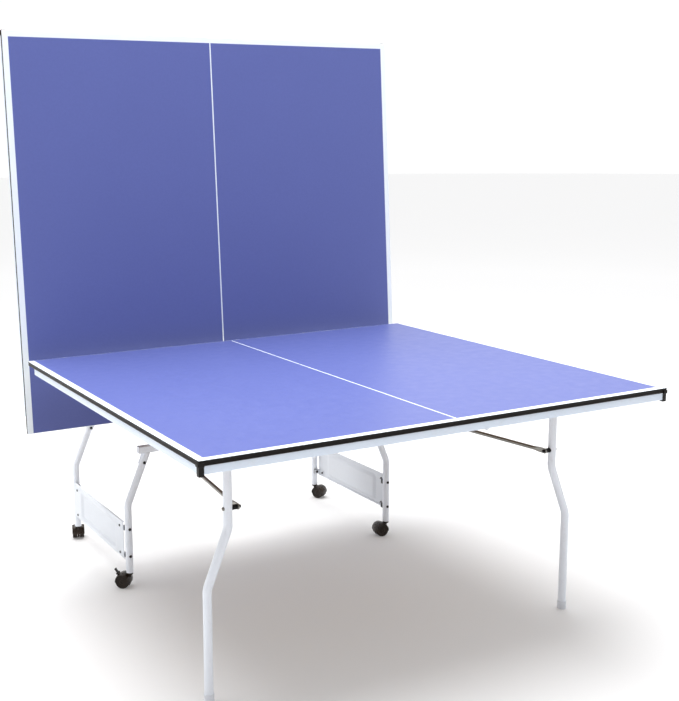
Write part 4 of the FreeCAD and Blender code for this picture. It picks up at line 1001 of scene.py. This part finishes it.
def hood(corner, braked):
    """A barrel-backed shell over both wheels, on a web with a boss and a ringed stem."""
    shape = Shape()
    axle = Vector((TRAIL, 0, WHEEL_RADIUS))
    back = [(HOOD_OUTER - 0.0032 * (share / 6) ** 2, HOOD_HALF * share / 6)
            for share in range(-6, 7)]
    back = [(radius - (0.0006 if abs(y) > HOOD_HALF * 0.99 else 0), y) for radius, y in back]
    front = [(HOOD_INNER - 0.001 * (share / 3) ** 2, HOOD_HALF * share / 3)
             for share in range(3, -4, -1)]
    front[0] = (HOOD_INNER - 0.0004, HOOD_HALF)
    front[-1] = (HOOD_INNER - 0.0004, -HOOD_HALF)
    section = back + front
    start = -math.asin(0.004 / HOOD_OUTER)
    rings = []
    for step in range(41):
        angle = start + (math.pi - 2 * start) * step / 40
        rings.append([axle + Vector((radius * math.cos(angle), y, radius * math.sin(angle)))
                      for radius, y in section])
    shape.skin(rings)
    web = arc((axle.z, axle.x), HOOD_INNER + 0.0008, -40, 220, 32)
    web = [(max(up, 0.004), along) for up, along in
           [(axle.z + along - axle.x, axle.x + up - axle.z) for up, along in web]]
    shape.extruded(web, "Y", 0.001 - WHEEL_GAP, WHEEL_GAP - 0.001)
    leg = STEM.z
    shape.turned((0, 0, 0), (0, 0, 1), [
        (0.0045, 0.036), (0.0045, 0.0464), (0.0106, 0.0466), (0.0112, 0.0472),
        (0.0112, leg - 0.0036), (0.0106, leg - 0.0028), (0.0112, leg - 0.002),
        (0.0112, leg - 0.0012), (0.0104, leg - 0.0004)], 36)
    for rib in (-1, 1):
        shape.turned(axle + Vector((0, rib * (WHEEL_GAP - 0.001), 0)), (0, rib, 0),
                     [(0.0075, -0.001), (0.0075, 0.0004), (0.0065, 0.0008)], 28)
    if braked:
        hinge = axle + LEVER_REACH * Vector((math.cos(LEVER_ANGLE), 0, math.sin(LEVER_ANGLE)))
        for ear in (-1, 1):
            shape.turned(hinge + Vector((0, ear * 0.0063, 0)), (0, ear, 0),
                         [(0.0038, 0), (0.0042, 0.0004), (0.0042, 0.0024), (0.0034, 0.003)], 24)
    shape.stand_for("caster_%s_hood" % corner, caster_matrix(corner))


def wheels(corner):
    """A pair of moulded wheels: crowned grooved treads, a dished face and a capped hub."""
    shape = Shape()
    centre = Vector((TRAIL, 0, WHEEL_RADIUS))
    rim, pad = WHEEL_RADIUS, WHEEL_PAD
    for side in (-1, 1):
        profile = [(0.008, WHEEL_GAP), (rim - 0.002, WHEEL_GAP),
                   (rim - 0.0006, WHEEL_GAP + 0.0005),
                   (rim, WHEEL_GAP + 0.0015), (rim, pad - 0.0075), (rim - 0.0007, pad - 0.007),
                   (rim - 0.0007, pad - 0.0055), (rim, pad - 0.005), (rim, pad - 0.0022),
                   (rim - 0.0005, pad - 0.001), (rim - 0.0016, pad - 0.0002), (rim - 0.003, pad),
                   (rim - 0.004, pad - 0.0002), (rim - 0.0048, pad - 0.0012),
                   (rim - 0.0056, pad - 0.0016), (0.0092, pad - 0.0016), (0.0082, pad - 0.0006),
                   (0.0072, pad + 0.0003), (0.006, pad + 0.0005), (0.0028, pad + 0.0005),
                   (0.0022, pad - 0.0002)]
        shape.turned(centre, (0, side, 0), profile, 48)
    shape.collar(centre - Vector((0, WHEEL_GAP + 0.001, 0)), (0, 1, 0), 0.003,
                 2 * WHEEL_GAP + 0.002)
    shape.stand_for("caster_%s_wheels" % corner, caster_matrix(corner))


def lever(corner):
    """A brake tab with a rounded, ridged tread for the toe."""
    shape = Shape()
    half = 0.006
    shape.turned((0, -half, 0), (0, 1, 0), [(0.0028, 0), (0.0032, 0.0004),
                                            (0.0032, 2 * half - 0.0004), (0.0028, 2 * half)])
    tab = rounded_loop([(-0.0015, 0, 0.0005), (-0.0017, 0.013, 0.0005), (-0.0022, 0.0150, 0.0008),
                        (-0.0016, 0.0182, 0.0012), (0.0016, 0.0182, 0.0012),
                        (0.0022, 0.0150, 0.0006), (0.0012, 0.0140, 0.0002),
                        (0.0022, 0.0125, 0.0004), (0.0012, 0.0110, 0.0002),
                        (0.0022, 0.0095, 0.0004), (0.0014, 0.0075, 0.0004), (0.0015, 0, 0.0005)])
    shape.extruded(tab, "Y", -half, half, edge=0.0004)
    reach = LEVER_REACH * Vector((math.cos(LEVER_ANGLE), 0, math.sin(LEVER_ANGLE)))
    place = (caster_matrix(corner) @ Matrix.Translation(Vector((TRAIL, 0, WHEEL_RADIUS)) + reach)
             @ Matrix.Rotation(-LEVER_SLOPE, 4, "Y"))
    shape.stand_for("caster_%s_lever" % corner, place)


for half in HALVES:
    edge_band(half)
    rails(half)
    corner_caps(half)
    hinge_beam(half)
    leg_hangers(half)
    board_screws(half)
    end_legs(half)
    hinge_tube(half)
    foot_caps(half)
    leg_bolts(half)
    links(half)
wheel_legs()
box_frame()
pivot_plates()
pivot_bolts()
frame_bolts()
side_panels()
for corner in CORNERS:
    braked = "caster_%s_lever" % corner in BODY_OF
    hood(corner, braked)
    wheels(corner)
    if braked:
        lever(corner)


# ---- floor, light and camera ----

SENSOR = 36.0
LENS = 58.03
CAMERA_AT = (-1.820, -3.156, 1.507)
CAMERA_YAW = 28.375
CAMERA_PITCH = -9.822
CAMERA_ROLL = -0.465
CAMERA_SHIFT = (0.0991, -0.0292)
FLOOR_REACH = 40.0
FLOOR_GLOW = (2.0, 9.0, 0.13, 0.36)
SKY_SPAN = (-0.8, 0.9)
SKY_BEHIND = 0.55
SKY_AHEAD = 1.04


def floor():
    """A pale floor that glows more with distance, so that it fades into the background."""
    mesh = bpy.data.meshes.new("floor")
    grid = bmesh.new()
    bmesh.ops.create_circle(grid, cap_ends=True, radius=FLOOR_REACH, segments=96)
    grid.to_mesh(mesh)
    grid.free()
    item = put_in_scene("floor", mesh)
    made = Finish("studio_floor", Specular_IOR_Level=0.1, Emission_Color=(1, 1, 1, 1))
    reach = made.node("ShaderNodeVectorMath", "Value", {0: made.place}, operation="LENGTH")
    made.put(made.shader.inputs["Emission Strength"], made.ramp(reach, *FLOOR_GLOW))
    made.colour(made.mix(made.noise(1.5, 3), (0.70, 0.70, 0.705, 1), (0.72, 0.72, 0.725, 1)))
    made.rough(0.9)
    mesh.materials.append(made.material)


def soft_light(name, at, size, power, aim):
    lamp = bpy.data.lights.new(name, "AREA")
    lamp.shape = "DISK"
    lamp.size = size
    lamp.energy = power
    item = put_in_scene(name, lamp)
    item.location = at
    towards = Vector(aim) - Vector(at)
    item.rotation_euler = towards.to_track_quat("-Z", "Y").to_euler()


def studio():
    world = bpy.data.worlds.new("studio")
    world.use_nodes = True
    tree = world.node_tree
    sky = tree.nodes["Background"]
    way = tree.nodes.new("ShaderNodeTexCoord")
    share = tree.nodes.new("ShaderNodeVectorMath")
    share.operation = "DOT_PRODUCT"
    yaw = math.radians(CAMERA_YAW)
    share.inputs[1].default_value = (math.sin(yaw), math.cos(yaw), 0)
    strength = tree.nodes.new("ShaderNodeMapRange")
    for socket, level in zip((1, 2, 3, 4), (*SKY_SPAN, SKY_BEHIND, SKY_AHEAD)):
        strength.inputs[socket].default_value = level
    tree.links.new(way.outputs["Generated"], share.inputs[0])
    tree.links.new(share.outputs["Value"], strength.inputs["Value"])
    tree.links.new(strength.outputs["Result"], sky.inputs["Strength"])
    sky.inputs["Color"].default_value = (1.0, 1.0, 1.0, 1)
    bpy.context.scene.world = world
    soft_light("overhead", (-0.2, 0.8, 4.8), 5.5, 430, (0.0, -0.1, 0.0))
    soft_light("side", (-4.6, 1.5, 1.0), 3.0, 9, (0.0, 0.4, 0.4))
    bpy.context.scene.view_settings.view_transform = "Standard"


def camera():
    yaw, pitch, roll = (math.radians(turn) for turn in (CAMERA_YAW, CAMERA_PITCH, CAMERA_ROLL))
    forward = Vector((math.sin(yaw) * math.cos(pitch), math.cos(yaw) * math.cos(pitch),
                      math.sin(pitch)))
    right = forward.cross((0, 0, 1)).normalized()
    up = right.cross(forward)
    level = Matrix((right, up, -forward)).transposed().to_4x4()
    lens = bpy.data.cameras.new("camera")
    lens.sensor_width = SENSOR
    lens.lens = LENS
    lens.shift_x, lens.shift_y = CAMERA_SHIFT
    item = put_in_scene("camera", lens)
    item.matrix_world = (Matrix.Translation(CAMERA_AT) @ level
                         @ Matrix.Rotation(roll, 4, "Z"))
    bpy.context.scene.camera = item


floor()
studio()
camera()
